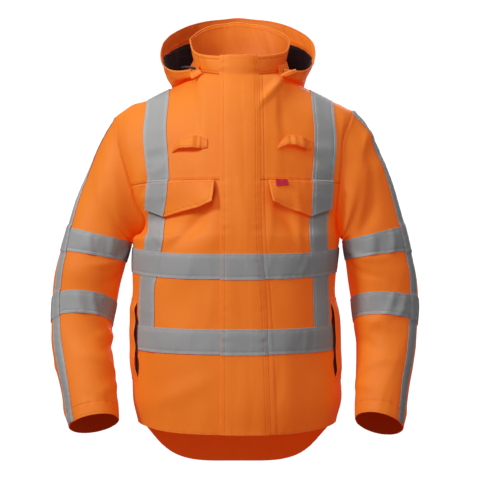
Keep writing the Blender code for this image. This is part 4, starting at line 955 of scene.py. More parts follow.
def makeCollarSurface():
    base = neckRing() + (0, 0, 0.6)
    bearings = bearingOf(base)
    outward = unit(base * (1, 1, 0))
    rows = []
    for rise in collar["rises"]:
        row = base + outward * (readTable(collar["top"], bearings, 2) * rise + 1.5 * sin(pi * rise))[:, None]
        row[:, 2] = mix(base[:, 2], readTable(collar["top"], bearings, 1), rise)
        rows.append(row)
    coarse = np.array(rows)
    surface = fineSurface(coarse, gridLines(3, 10, [(0.15, 0.25, 9), (2.75, 0.25, 17)]), gridLines(24, 6))
    away = unit(surface["points"] * (1, 1, 0))
    measure(surface, away)
    up, across = surface["up"], surface["across"]
    push = foldHeight(across, up, collar["folds"]) + 0.7 * unevenness(across, up, 2.2)
    toTop = up[-1:] - up
    push += 0.5 * hump(toTop - 3, 3) + pucker(across, toTop - 6.5, 0.4, 7) + pucker(across, up - 4, 0.5, 6)
    push += seamDip(toTop - 6.5, 0.7, 1.1) + seamDip(up - 4, 0.6, 1.1)
    push *= smoothStep(up / 4 + 0.1)
    # painted shade along the collar's stitches and its base seam
    surface["shade"] = np.clip(paintedShading(toTop - 6.5) + paintedShading(up - 4) + seamPaintedShade(up, 1.2), 0, 1)
    return pushOut(surface, push, away), coarse


collarSurface, coarseCollar = makeCollarSurface()


def makeCollar():
    surface, thickness = collarSurface, collar["thickness"]
    bearings = bearingOf(surface["points"].reshape(-1, 3)).reshape(surface["up"].shape)
    # painted shade over the inside, darker toward the front and toward its base
    deep = 0.9 * (1 - smoothStep((bearings - 90) / 75)) + 0.5 * (1 - smoothStep((surface["up"] - 25) / 45))
    makeCloth("collarStand", insetEdges(surface["points"]), surface["normals"], thickness, "shell",
              shade=surface["shade"], inside=deep)
    last = surface["columns"][-1]
    wide = np.linspace(0.1, last - 0.1, 300)
    for row, up in ((0, 4.0), (3, -6.5)):
        sewOn("collarStitches", surface, row, wide, up=up)
        sewInside("collarStitches", surface, row, wide, thickness, up)
    # square of sewing that holds the fastening patch, on the wearer's left
    for (u0, v0), (u1, v1) in zip(collar["patch"], collar["patch"][1:] + collar["patch"][:1]):
        sewOn("collarStitches", surface, 0.05, last - 0.1, up=np.linspace(v0, v1, 12), across=np.linspace(u0, u1, 12))


makeCollar()
print("collar made")


# storm flap over the front opening, and its own stretches of tape

stormFlap = {"thickness": 2.6, "lift": 0.3, "edgeStitch": 8.0, "crown": 1.2,
             "tapeDrop": 0.015,  # rows that its tapes sit below the front's
             "folds": [(5, -230, 12, -350, 4, 12, 1.6, 0), (-8, -120, 4, -215, 3, 14, 1.4, 0),
                       (14, -560, 8, -690, 3, 14, 1.8, 0), (0, -410, 10, -490, 2, 12, -1.2, 0)]}


def makeFlapSurface():
    columns = slice(columnAt(front, flapColumn), columnAt(front, -flapColumn) + 1)
    picks = [-3, -2, 0, 1, 2]
    coarse = join([coarseBody[front][:, columns], coarseCollar[1:, picks]])
    surface = fineSurface(coarse, gridLines(len(coarse) - 1, 6), gridLines(4, 10, [(0.35, 0.3, 15), (3.65, 0.3, 15)]))
    measure(surface, np.array([0, -1, 0]))
    points = surface["points"]
    # keep to the body's own folds where the flap lies on it
    onBody = surface["rows"] <= topRow
    under, _ = onCloth(bodySurfaces[front], surface["rows"][onBody][:, None],
                       columns.start + surface["columns"][None])
    gap = np.sum((under - points[onBody]) * surface["normals"][onBody], axis=2)
    fade = smoothStep((topRow - surface["rows"][onBody]) / 0.8)[:, None]
    push = np.zeros(points.shape[:2])
    push[onBody] = np.maximum(gap * fade, -0.2)
    across, up = surface["across"], surface["up"]
    sewn, free = across, across[:, -1:] - across  # the free edge is on the wearer's right
    toEdge, edgeStitch = np.minimum(sewn, free), stormFlap["edgeStitch"]
    u, v = points[..., 0], points[..., 2]
    push += foldHeight(u, v, stormFlap["folds"]) + 0.5 * unevenness(u, v, 3.4) + 0.3
    push += stormFlap["crown"] * smoothStep(toEdge / 20)
    push += seamDip(toEdge - edgeStitch, 0.8, 1.2) + pucker(up, toEdge - edgeStitch, 0.45, 7)
    # painted shade along the flap's lines of stitches
    surface["shade"] = 1.3 * paintedShading(free - edgeStitch) + 0.35 * paintedShading(sewn - edgeStitch)
    surface["lift"] = stormFlap["lift"] + stormFlap["thickness"] - 1.7 * (1 - smoothStep(sewn / 9))
    return pushOut(surface, push, np.array([0, -1, 0]))


flapSurface = makeFlapSurface()


tape = {"thickness": 1.0, "stitch": 5.5}  # its stitches lie this far from its edges


def tapeProfile(toEdge, along):  # height of a sewn tape over what it lies on
    inner = toEdge - tape["stitch"]
    return 0.35 + 0.5 * smoothStep(toEdge / 14) - 0.45 * hump(inner, 1.1) + pucker(along, inner, 0.22, 6)


def layTape(name, points, normals, height, toEdge, inset=tape["stitch"], trim=0.0, ring=False):
    outer = points + normals * height[..., None]
    # painted highlight: the border outside the stitches and the line of stitches are painted a little paler
    shade = 0.45 * smoothStep((inset - toEdge) / 1.2) + 0.35 * hump(toEdge - inset, 0.9)
    makeCloth(name, insetEdges(outer, trim) if trim else outer, normals, tape["thickness"], "tape",
              ring=ring, shade=shade)
    return outer


def tapeRows(name):
    return rowOf[name.lower() + "TapeBottom"], rowOf[name.lower() + "TapeTop"]


def makeStormFlap():
    surface, edgeStitch = flapSurface, stormFlap["edgeStitch"]
    lift = surface["lift"]
    makeCloth("stormFlap", surface["points"] + surface["normals"] * lift[..., None], surface["normals"],
              np.minimum(stormFlap["thickness"], lift - 0.1), "shell",
              shade=surface["shade"])
    lastColumn, lastRow = surface["columns"][-1], surface["rows"][-1]
    high = lift.max()
    rows = np.linspace(0.1, lastRow - 0.35, 700)
    for column, away, over in ((lastColumn, -edgeStitch, high), (0, edgeStitch, high - 0.1),
                               (lastColumn, -1.8, high - 0.05)):
        sewOn("flapStitches", surface, rows, column, lift=over, across=away)
    for row, up in ((lastRow, -5.0), (0, 3.0)):
        sewOn("flapStitches", surface, row, np.linspace(0.6, lastColumn - 0.2, 60), lift=high, up=up)
    tall, wide = 32, 64  # steps up and across its stretches of tape
    for name in ("Upper", "Lower"):
        first, last = np.array(tapeRows(name)) - stormFlap["tapeDrop"]
        rows, columns = spread(np.linspace(first, last, tall + 1), np.linspace(0, lastColumn, wide + 1))
        points, normals = onCloth(surface, rows, columns)
        across, toEdge = arcs(points, 1), fromEdges(arcs(points, 0), 0)
        height = high - 1.7 * (1 - smoothStep(across / 9)) + 1.0 + tapeProfile(toEdge, across)
        outer = layTape("stormTape" + name, points, normals, height, toEdge)
        inset, away = tape["stitch"] / body["tapeWidth"] * tall, edgeStitch / (across[0, -1] / wide)
        sewRows("tapeStitchesBody", outer, normals, [(row, row, 1, wide - 1) for row in (inset, tall - inset)],
                count=60)
        sewRows("crossStitches", outer, normals,
                [(0.5, tall - 0.5, column, column) for column in (away, wide - away)], count=40)


makeStormFlap()
print("storm flap made")


# tapes of the body

bodyTapes = {"lift": 1.3, "overBrace": 1.3,
             "braceFolds": [
                 # mm across from the tape's middle, z
                 (-26, -150, 26, -163, 3, 8, 1.5, 0.2), (-24, -182, 24, -204, -3, 8, 1.6, 0),
                 (-22, -168, 24, -178, 2, 6, -1.5, 0), (-20, -110, 18, -122, 0, 9, 0.8, 0),
                 (-22, -265, 22, -285, 2, 9, 0.9, 0), (-20, -330, 20, -318, 2, 8, 0.8, 0),
             ],
             "waistFolds": [
                 # mm round from the flap's free edge, mm up
                 (64, 2, 58, 48, 2, 7, 1.1, 0), (118, 4, 128, 48, -2, 8, 1.2, 0), (20, 2, 26, 46, 2, 6, 0.8, 0),
                 (300, 2, 310, 48, 3, 12, 1.6, 0), (470, 2, 455, 48, 3, 14, 1.8, 0), (640, 2, 652, 48, 3, 12, 1.5, 0),
                 (1010, 3, 1000, 48, 2, 8, 1.2, 0), (1075, 3, 1082, 48, -2, 7, 1.0, 0),
             ]}


def makeWaistTapes():
    steps = 24
    for name in ("Upper", "Lower"):
        rows = np.linspace(*tapeRows(name), steps + 1)
        stretches = [(front, np.linspace(columnAt(front, -flapColumn), 2 * sideColumn, 68)),
                     (back, np.linspace(0, 2 * sideColumn, 125)[1:]),
                     (front, np.linspace(0, columnAt(front, flapColumn), 68)[1:])]
        points = join([onCloth(bodySurfaces[face], rows[:, None], columns[None])[0] for face, columns in stretches],
                      axis=1)
        numbers = join([np.abs(columns - sideColumn) for _, columns in stretches])
        normals = facing(points, unit(points * (1, 1, 0)))
        up, across = arcs(points, 0), arcs(points, 1)
        toEdge = fromEdges(up, 0)
        over = smoothStep((numbers - braceIn + 0.22) / 0.2) * smoothStep((braceOut - numbers + 0.22) / 0.2)
        height = (bodyTapes["lift"] + bodyTapes["overBrace"] * over[None] + tapeProfile(toEdge, across)
                  + 0.9 * hump(numbers - sideColumn, 0.12)[None]
                  + foldHeight(across, up, bodyTapes["waistFolds"]))
        outer = layTape("waistTape" + name, points, normals, np.maximum(height, 1.25), toEdge,
                        trim=0.8)
        inset = tape["stitch"] / body["tapeWidth"] * steps
        sewRows("tapeStitchesBody", outer, normals,
                [(row, row, 0.5, outer.shape[1] - 1.5) for row in (inset, steps - inset)], count=1200)


# shares across a tape, with more of them along its stitches, and where the stitches lie among them
tapeLines = np.array([0, 1.2, 2.4, 3.4, 4.4, 5.0, 5.5, 6.0, 6.6, 7.6, 9, 12, 16, 20, 25, 30, 34, 38, 41, 42.4,
                      43.4, 44, 44.5, 45, 45.6, 46.6, 47.6, 48.8, 50]) / 50
tapeStitchLines = (7.6, 20.4)


def makeBraces():
    bottom = rowOf["lowerTapeTop"] - 0.12
    for name, side in sides.items():
        across = mix(braceIn, braceOut, tapeLines)[::-side]
        upRows = np.linspace(bottom, topRow, 170)
        ahead, _ = onCloth(bodySurfaces[front], upRows[:, None], columnAt(front, side * across)[None])
        behind, _ = onCloth(bodySurfaces[back], upRows[-2::-1, None], columnAt(back, side * across)[None])
        points = join([ahead, behind])
        # ease the tape over the shoulder seam
        seam = len(upRows) - 1
        for shift in range(1, 4):
            points[seam] = (points[seam - shift] + points[seam + shift] + 2 * points[seam]) / 4
        normals = gridNormals(points)
        if np.mean(normals[:seam, :, 1]) > 0:
            normals = -normals
        along, wide = arcs(points, 0), arcs(points, 1)
        middle, toEdge = (wide[:, -1:] / 2 - wide) * side, fromEdges(wide, 1)
        onFront = (np.arange(len(points)) <= seam)[:, None]
        height = bodyTapes["lift"] + tapeProfile(toEdge, along) + 0.3 * unevenness(middle * 2, along, 5.2 + side)
        height += onFront * foldHeight(middle, points[..., 2], bodyTapes["braceFolds"])
        outer = layTape("brace" + name, points, normals, np.maximum(height, 1.3), toEdge,
                        inset=6.5)
        sewRows("tapeStitchesBody", outer, normals, [(0, len(outer) - 1, place, place) for place in tapeStitchLines],
                count=len(outer))


makeBraces()
makeWaistTapes()
print("body tapes made")


# pocket flaps, label and radio loops on the chest

chest = {
    "flapThickness": 2.6, "top": 1.5, "standTop": 2.2, "standBottom": 2.5, "standCorner": 13,
    # side: inner end, drops at the inner end, the point and the outer end
    "flaps": {-1: (43, 40, 68, 51), 1: (61, 40, 67, 51)}, "flapSlant": {-1: 1, 1: 2}, "flapReach": 25,
    "label": {"from": 71, "to": 94, "drops": (12.5, 9.5), "thickness": 1.0, "gap": 0.6, "slant": 1.5},
    "loops": {
        # x, stand, z bottom, z top
        -1: [(-124, 1.0, -162, -158), (-117, 4.0, -158.5, -147), (-109, 8.0, -156, -139), (-100, 9.5, -155.5, -136.5),
             (-88, 10.5, -155.5, -134), (-76, 9.5, -155.5, -132), (-69, 5.0, -155, -132.5),
             (-65, 1.2, -155, -133.5), (-57, 1.0, -153.5, -136.5)],
        1: [(77.5, 1.0, -156, -152), (83, 4.0, -152, -141), (90, 8.0, -149.5, -134), (99, 9.5, -149, -131.5),
            (112, 10.5, -151, -133), (123, 9.5, -154, -134.5), (130, 5.0, -155, -135.5), (134, 1.2, -155.5, -136),
            (143, 1.0, -156.5, -137)],
    },
    "loopThickness": 2.0,
    "loopFolds": {-1: [(-80, -158, -81, -128, 1, 5, 1.8, 0), (-73, -158, -72, -128, 0, 3.5, -1.8, 0),
                       (-101, -158, -100, -134, 1, 6, 1.6, 0)],
                  1: [(108, -156, 107, -126, 1, 5, 1.6, 0), (101, -156, 100, -126, 0, 4, -1.3, 0),
                      (124, -158, 123, -128, 0, 5, 1.2, 0)]},
}


def placesOn(keys, grid, axis, at, z):  # one coordinate of the cloth where another and the height are known
    levels, values = [np.array([np.interp(np.ravel(at), *row) for row in zip(keys, grid[..., each])]).T
                      for each in (2, axis)]
    found = [np.interp(*place) for place in zip(np.ravel(z), levels, values)]
    return np.reshape(found, np.shape(z))


def frontPlaces(side, x, z):  # points of the front's cloth at places given by x and z
    surface = bodySurfaces[front]
    middle = lineAt(surface, "columns", sideColumn)
    half = np.arange(middle, len(surface["columns"])) if side < 0 else np.arange(middle, -1, -1)
    grid = surface["points"][lineAt(surface, "rows", armpitRow - 2):, half]
    return np.stack([x, placesOn(side * grid[..., 0], grid, 1, np.abs(x), z), z], axis=-1)


def directions(places, side, at, z, reach, ahead=None):  # across the cloth and up it, then out of it
    ahead = reach if ahead is None else ahead
    across = places(side, at + ahead, z) - places(side, at - reach, z)
    return unit(np.cross(across, places(side, at, z + reach) - places(side, at, z - reach)))


def braceEdges(side, z):  # x of the shoulder tape's inner and outer edge at a height
    surface = bodySurfaces[front]
    rows = slice(lineAt(surface, "rows", armpitRow), lineAt(surface, "rows", topRow))
    places = [lineAt(surface, "columns", columnAt(front, side * number)) for number in (braceMid, braceIn, braceOut)]
    heights = surface["points"][rows, places[0], 2]
    return [np.interp(z, heights, surface["points"][rows, place, 0]) for place in places[1:]]


def flapStand(share, down):
    down = np.maximum(down, 0)
    corner = chest["standCorner"] * (1 - share) ** 1.5 * down ** 1.2
    return chest["standTop"] + chest["standBottom"] * down + corner


def flapGrid(side, shares, downs):  # points and directions of a pocket flap's underside
    start, dropInner, dropPoint, dropOuter = chest["flaps"][side]
    down, share = spread(downs, shares)
    drop = np.interp(share, (0, 1, 2), (dropInner, dropPoint, dropOuter))
    z = body["yokeZ"] - chest["top"] - down * drop
    inner, outer = braceEdges(side, z)
    start = start + chest["flapSlant"][side] * down
    x = np.where(share < 1, mix(side * start, inner, share), mix(inner, outer, share - 1))
    normals = directions(frontPlaces, side, x, z, chest["flapReach"])
    stand = flapStand(np.minimum(share, 1), down)
    return frontPlaces(side, x, z) + normals * stand[..., None], normals


def makePocketFlaps():
    thickness, steps = chest["flapThickness"], 44
    for name, side in sides.items():
        shares = join([np.linspace(0, 1, 73), np.linspace(1, 2, 33)[1:]])[::-side]
        points, normals = flapGrid(side, shares, np.linspace(0, 1, steps + 1))
        down, across = arcs(points, 0), arcs(points, 1)
        toEdge = np.minimum(down[-1:] - down, fromEdges(across, 1))
        swell = 0.5 * smoothStep(toEdge / 20) + seamDip(toEdge - 6, 0.35, 1.0)
        swell += pucker(across + down, toEdge - 6, 0.2, 6) + 0.6 * unevenness(across * 1.5, down * 1.5, 6 + side)
        points = points + normals * (swell * smoothStep(down / 8))[..., None]
        shown = facing(points, normals)
        outer = points + shown * thickness
        # painted shade along its stitches
        makeCloth("pocketFlap" + name, outer, shown, thickness, "shell",
                  shade=0.35 * paintedShading(toEdge - 6) + 0.35 * paintedShading(down - 4))
        last = len(shares) - 1
        rowStep, inset = down[-1].mean() / steps, 6 / (across[:, -1].mean() / last)
        low = steps - 6 / rowStep
        sewRows("flapStitches", outer, shown,
                [(low, low, inset, last - inset), (2, low, inset, inset), (2, low, last - inset, last - inset),
                 (4 / rowStep, 4 / rowStep, 1, last - 1)])
        # the shoulder tape's own stretch on the flap, from the brace down over the flap's upper edge
        tapeDowns = join([[-0.055, -0.035, -0.015], np.linspace(0, 1, 41)])
        under, ups = flapGrid(side, 1 + tapeLines[::-side], tapeDowns)
        toSide = fromEdges(arcs(under, 1), 1)
        climb = smoothStep((tapeDowns[:, None] + 0.055) / 0.05)
        height = mix(0.5, thickness + 1.5, climb) + tapeProfile(toSide, arcs(under, 0))
        outer = layTape("flapTape" + name, under, ups, height, toSide, inset=6.5)
        sewRows("tapeStitchesBody", outer, ups, [(1, 42.5, place, place) for place in tapeStitchLines])
        sewRows("crossStitches", outer, ups, [(6.5, 6.5, 1, 27)])


def makeRadioLoops():
    thickness, steps = chest["loopThickness"], 90
    for name, side in sides.items():
        table = chest["loops"][side]
        x, rise = np.linspace(table[0][0], table[-1][0], steps + 1), np.linspace(0, 1, 19)[:, None]
        # edges half way between straight and rounded
        low, high = [mix(np.interp(x, [row[0] for row in table], [row[n] for row in table]),
                         readTable(table, x, n), 0.5)[None] for n in (2, 3)]
        z = mix(low, high, rise)
        xs = np.broadcast_to(x[None], z.shape)
        normals = directions(frontPlaces, side, xs, z, 5.0)
        edge = np.minimum(rise, 1 - rise) * (high - low)
        # the strip's lower edge stands off, its upper edge leans to the cloth
        stand = readTable(table, x, 1)[None] * mix(1.12, 0.72, rise) + 0.5 * smoothStep(edge / 5)
        stand = stand + pucker(xs, edge - 3, 0.15, 4) + foldHeight(xs, z, chest["loopFolds"][side])
        outer = frontPlaces(side, xs, z) + normals * (np.maximum(stand, 0.9) + thickness)[..., None]
        shown = facing(outer, normals)
        fromEnd = np.abs(x[-1] - xs)
        # painted shade along the stitches
        shade = paintedShading(fromEnd - 4) + paintedShading(fromEnd - 10.5) + 0.5 * paintedShading(edge - 2.5)
        makeCloth("radioLoop" + name, outer, shown, thickness, "shell",
                  shade=np.clip(shade, 0, 1))
        ends = [steps - away / abs(x[1] - x[0]) for away in (4, 10.5)]
        sewRows("flapStitches", outer, shown,
                [(1, 17, end, end) for end in ends] + [(row, row, 5, 88) for row in (2.5, 15.5)], pitch=3.6)


def makeLabel():
    look = chest["label"]
    start, dropInner, dropPoint, _ = chest["flaps"][1]
    down, along = spread(np.linspace(1, 0, 13), np.linspace(0, 1, 21))
    x = mix(look["from"], look["to"], along) + look["slant"] * down
    z = body["yokeZ"] + 0.5 - down * mix(*look["drops"], along) + 0.6 * np.sin(pi * along) * down
    inner, _ = braceEdges(1, z)
    share = np.clip((x - start) / (inner - start), 0, 1)
    depth = np.clip((body["yokeZ"] - z - chest["top"]) / mix(dropInner, dropPoint, share), 0, 1)
    normals = directions(frontPlaces, 1, x, z, chest["flapReach"])
    stand = flapStand(share, depth) + chest["flapThickness"] + look["gap"] + 1.4 + 1.2 * down ** 2 * along
    outer = frontPlaces(1, x, z) + normals * (stand + look["thickness"])[..., None]
    makeCloth("labelTab", outer, normals, look["thickness"], "label", wearAndHighlightReach=2)


makePocketFlaps()
makeRadioLoops()
makeLabel()
print("chest pieces made")


# sleeves, their bands and narrow tapes

sleeves = {
    "thickness": 2.0, "capShare": 0.45, "insideShade": 2.1, "seamAllowance": [(4.2, 11), (3.0, 4)],
    # mm across the narrow tape, with more lines along its stitches
    "stripeWidth": 25, "stripeStitch": 3.4,
    "stripeLines": [0, 1, 2, 2.8, 3.4, 4, 5.5, 9, 12.5, 16, 19.5, 21, 21.6, 22.2, 23, 24, 25],
    "rings": {
        # outer x, outer z, inner x, inner z, middle y, half depth, lean
        -1: [
            (-272, -136, -205.5, -324.5, 5, 90, 0), (-300, -200, -206.5, -327, 4, 88, 0),
            (-322, -254, -208, -330, 3, 85, 0), (-338, -304, -210.5, -334, 2, 82, 1),
            (-352, -352, -221, -374, 0, 78, 4), (-362, -396, -232, -412, -3, 76, 10),
            (-368, -449, -241, -456, -8, 74, 19), (-369, -494, -248, -497, -16, 72, 20),
            (-367, -537, -248, -537, -29, 69, 21), (-359, -576, -244, -570, -42, 67, 22),
            (-347, -622, -239, -612, -59, 64, 22), (-336, -664, -232, -648, -75, 61, 23),
            (-327, -696, -229, -677, -86, 59, 23),
        ],
        1: [
            (262, -110, 204.5, -323.5, 5, 90, 0), (290, -166, 206, -325.5, 4, 88, 0),
            (314, -228, 208, -328, 3, 85, 0), (336, -302, 211, -332, 2, 82, 1),
            (348, -352, 217, -370, 0, 78, 3), (358, -402, 222, -409, -2, 76, 8),
            (361, -450, 227, -448, -7, 74, 14), (359, -499, 232, -490, -15, 72, 16),
            (356, -535, 236, -531, -27, 69, 18), (349, -575, 235, -574, -40, 67, 20),
            (338, -621, 233, -617, -58, 64, 23), (330, -666, 231, -648, -76, 61, 25),
            (323, -697, 230, -675, -90, 59, 26),
        ],
    },
    "bands": {"Upper": (5, 6), "Lower": (8, 9)},
    "bulges": [
        # side, ring, degrees, rings wide, degrees wide, height
        (-1, 6.2, 75, 0.8, 50, 5), (-1, 8.8, 110, 0.8, 45, -5), (-1, 2.6, 105, 1.2, 30, -6),
        (-1, 2.6, 62, 1.4, 26, 4), (1, 2.2, 100, 1.2, 30, -6), (1, 1.6, 55, 1.3, 24, 5),
        (1, 6.2, 60, 0.8, 40, 4), (1, 9.0, 80, 0.9, 40, -4), (-1, 9.6, 250, 0.9, 40, 4), (1, 9.6, 250, 0.9, 40, 4),
    ],
    "drape": [  # the upper sleeve hangs flat from the shoulder, over the front
        (-1, 2.0, 66, 2.2, 40, -10), (1, 2.4, 60, 2.4, 36, -8), (-1, 4.4, 50, 1.0, 30, 3),
    ],
    "lean": {-1: [(0, 0.0), (12, 0.0)], 1: [(0, 0.55), (2, 0.6), (4, 0.4), (6, 0.15), (8, 0.0), (12, 0.0)]},
    "stripeLine": [
        # ring, right, left, in degrees from the outer line
        (0, -6, 2), (3, 7, 9), (5, 27, 18), (7, 40, 28), (9, 41, 36), (12, 39, 38), (14, 30, 32),
    ],
    "stripeColumns": {-1: (-1, 0), 1: (0, 1)},
    "bandFolds": {
        # mm round from the outer line over the front, mm up the band
        "Upper": [(52, 2, 60, 48, 3, 9, 3.5, 0.2), (78, 2, 74, 48, -2, 7, -2.6, 0), (98, 2, 104, 48, 2, 9, 2.6, 0),
                  (128, 2, 120, 48, 2, 9, -2.9, 0), (300, 2, 310, 48, 3, 14, 3.2, 0)],
        "Lower": [(40, 2, 52, 48, 3, 9, 3.2, 0), (66, 2, 84, 48, 3, 8, 2.9, 0), (104, 2, 92, 48, -2, 8, -2.4, 0),
                  (280, 2, 300, 48, 3, 14, 3.2, 0)],
    },
    "folds": {
        # mm round from the outer line over the front, z of the sleeve's outer line
        -1: [
            (150, -330, 60, -372, 8, 10, 3.6, 0.2), (170, -352, 90, -408, 8, 9, -3.0, 0),
            (175, -500, 70, -520, -8, 10, 3.8, 0.2), (165, -520, 80, -548, -8, 8, -2.2, 0),
            (30, -470, 120, -505, 8, 10, 3.0, 0), (40, -560, 150, -590, 8, 11, 3.0, 0.1),
            (170, -600, 60, -640, -10, 12, 3.0, 0), (40, -640, 130, -690, 8, 12, -2.6, 0),
            (60, -180, 110, -300, 8, 18, 3.0, 0), (250, -460, 330, -500, 8, 12, 3.5, 0),
            (260, -520, 340, -560, -8, 12, 3.5, 0), (280, -300, 330, -420, 8, 18, 3.5, 0),
            (260, -620, 330, -670, 8, 14, 3.0, 0), (130, -240, 160, -320, -4, 10, -3.0, 0),
        ],
        1: [
            (150, -335, 70, -362, 8, 10, 3.4, 0.2), (165, -360, 90, -410, 8, 9, -2.8, 0),
            (170, -500, 60, -515, -8, 10, 3.6, 0.2), (165, -525, 80, -560, -8, 9, -3.2, 0),
            (30, -480, 110, -515, 8, 10, 2.8, 0), (50, -575, 150, -600, 8, 11, 3.0, 0.1),
            (160, -610, 60, -655, -10, 12, 2.8, 0), (4, -124, 70, -106, 4, 8, 4.0, 0.3),
            (12, -158, 84, -122, 4, 14, -5.0, 0), (64, -140, 112, -300, 6, 24, -6.0, 0),
            (250, -460, 330, -505, 8, 12, 3.5, 0), (260, -525, 340, -570, -8, 12, 3.5, 0),
            (280, -300, 330, -420, 8, 18, 3.5, 0), (260, -620, 330, -670, 8, 14, 3.0, 0),
        ],
    },
}
armholeAngles = [pi - share * pi for share in reversed([0.0, *body["armholeShares"]])]
armholeAngles += [pi + share * pi for share in body["armholeShares"][:-1]]


def sleevePoint(side, ring, angle):  # the angle runs from the outer line over the front
    outerX, outerZ, innerX, innerZ, y, depth, lean = sleeves["rings"][side][ring]
    outer, inner = np.array([outerX, y, outerZ]), np.array([innerX, y, innerZ])
    forward = np.array([0, -cos(radians(lean)), sin(radians(lean))]) * depth
    middle = (outer + inner) / 2
    toBody = float(readTable(sleeves["lean"][side], ring, 1)) * max(sin(angle), 0) ** 2
    place = middle + (outer - inner) / 2 * (cos(angle) - toBody) + forward * sin(angle)
    push = 0.0
    for bulgeSide, bulgeRing, degrees, ringsWide, degreesWide, height in sleeves["bulges"] + sleeves["drape"]:
        if bulgeSide == side:
            away = (ring + 1 - bulgeRing) / ringsWide
            turn = (np.degrees(angle) - degrees + 180) % 360 - 180
            push += height * np.exp(-away ** 2 - (turn / degreesWide) ** 2)
    return place + unit(place - middle) * push


def ringAngles(side, ring):  # two of the columns keep the narrow tape's edges
    centre = radians(float(readSide(sleeves["stripeLine"], ring + 2, side)))
    reach = 0.05
    step = sleevePoint(side, ring, centre + reach) - sleevePoint(side, ring, centre - reach)
    half = sleeves["stripeWidth"] / 2 * 2 * reach / np.linalg.norm(step)
    low, high = sorted((armholeAngles[number] + pi) % (2 * pi) - pi for number in sleeves["stripeColumns"][side])
    base = [(angle + pi) % (2 * pi) - pi for angle in armholeAngles]
    shift = np.interp(base, [-pi, low, high, pi], [0, centre - half - low, centre + half - high, 0])
    return np.array(armholeAngles) + shift


def makeSleeveSurface(side):
    shares = [0.0, *body["armholeShares"]]
    away = unit((side, 0, -0.25)) * 0.3
    armhole = [armholePoint(front, side, share) for share in reversed(shares)]
    armhole += [armholePoint(back, side, share) for share in shares[1:-1]]
    armhole = np.array(armhole) + away
    plain = [[sleevePoint(side, ring, angle) for angle in ringAngles(side, ring)]
             for ring in range(len(sleeves["rings"][side]))]
    coarse = np.array([armhole, mix(armhole, np.array(plain[0]), sleeves["capShare"]), *plain])
    crowded = [(0.15, 0.25, 11), (14 - 0.72, 0.2, 9), (13.9, 0.15, 5)]
    surface = fineSurface(coarse, gridLines(len(coarse) - 1, 7, crowded), gridLines(len(armholeAngles), 5), ring=True)
    points, rows, columns = surface["points"], surface["rows"], surface["columns"]
    angles = np.interp(columns, range(len(armholeAngles) + 1), [*armholeAngles, 2 * pi])
    for number, angle in enumerate(angles):
        face = front if angle <= pi else back
        share = min(abs(pi - angle) / pi, 1.0)
        move = armholePoint(face, side, share) + away - points[0, number]
        points[:, number] += smoothStep(1 - rows)[:, None] * move
    points = surface["points"] = roundShoulders(points)
    centre = points.mean(axis=1, keepdims=True)
    measure(surface, unit(points - centre))
    around = arcs(join([points, points[:, :1]], axis=1), 1)
    around, total = around[:, :-1], around[:, -1:]
    outerZ = points[:, :1, 2] + 0 * around
    up = surface["up"]
    calm = smoothStep(up / 26)
    push = (foldHeight(around, outerZ, sleeves["folds"][side]) + unevenness(around, up, 7.7 + side)) * calm
    push += seamDip(up, 0.5, 2.5) + pucker(around, up, 0.5, 10) * smoothStep(up / 4)
    push += 0.5 * hump(up - 6, 4) * smoothStep(up / 2)  # the seam allowance lies toward the sleeve
    toCuff = up[-1:] - up
    push += pucker(around, toCuff - 24, 0.5, 8) + seamDip(toCuff - 24, 0.7, 1.3) + seamDip(toCuff - 3, 0.4, 1.2)
    underarm = np.abs(around - total / 2)
    push += seamDip(underarm, 0.9) + pucker(up, underarm, 0.4, 8)
    # painted shade along the cuff's and armhole's stitches and the seams
    shade = 0.3 * paintedShading(toCuff - 24) + 0.5 * paintedShading(toCuff - 3) + 0.3 * seamPaintedShade(up, 1.8)
    surface["shade"] = np.clip(shade + 0.6 * seamPaintedShade(underarm) + 0.25 * paintedShading(up - 6), 0, 1)
    return pushOut(surface, push, unit(points - centre))


sleeveSurfaces = {side: makeSleeveSurface(side) for side in (-1, 1)}


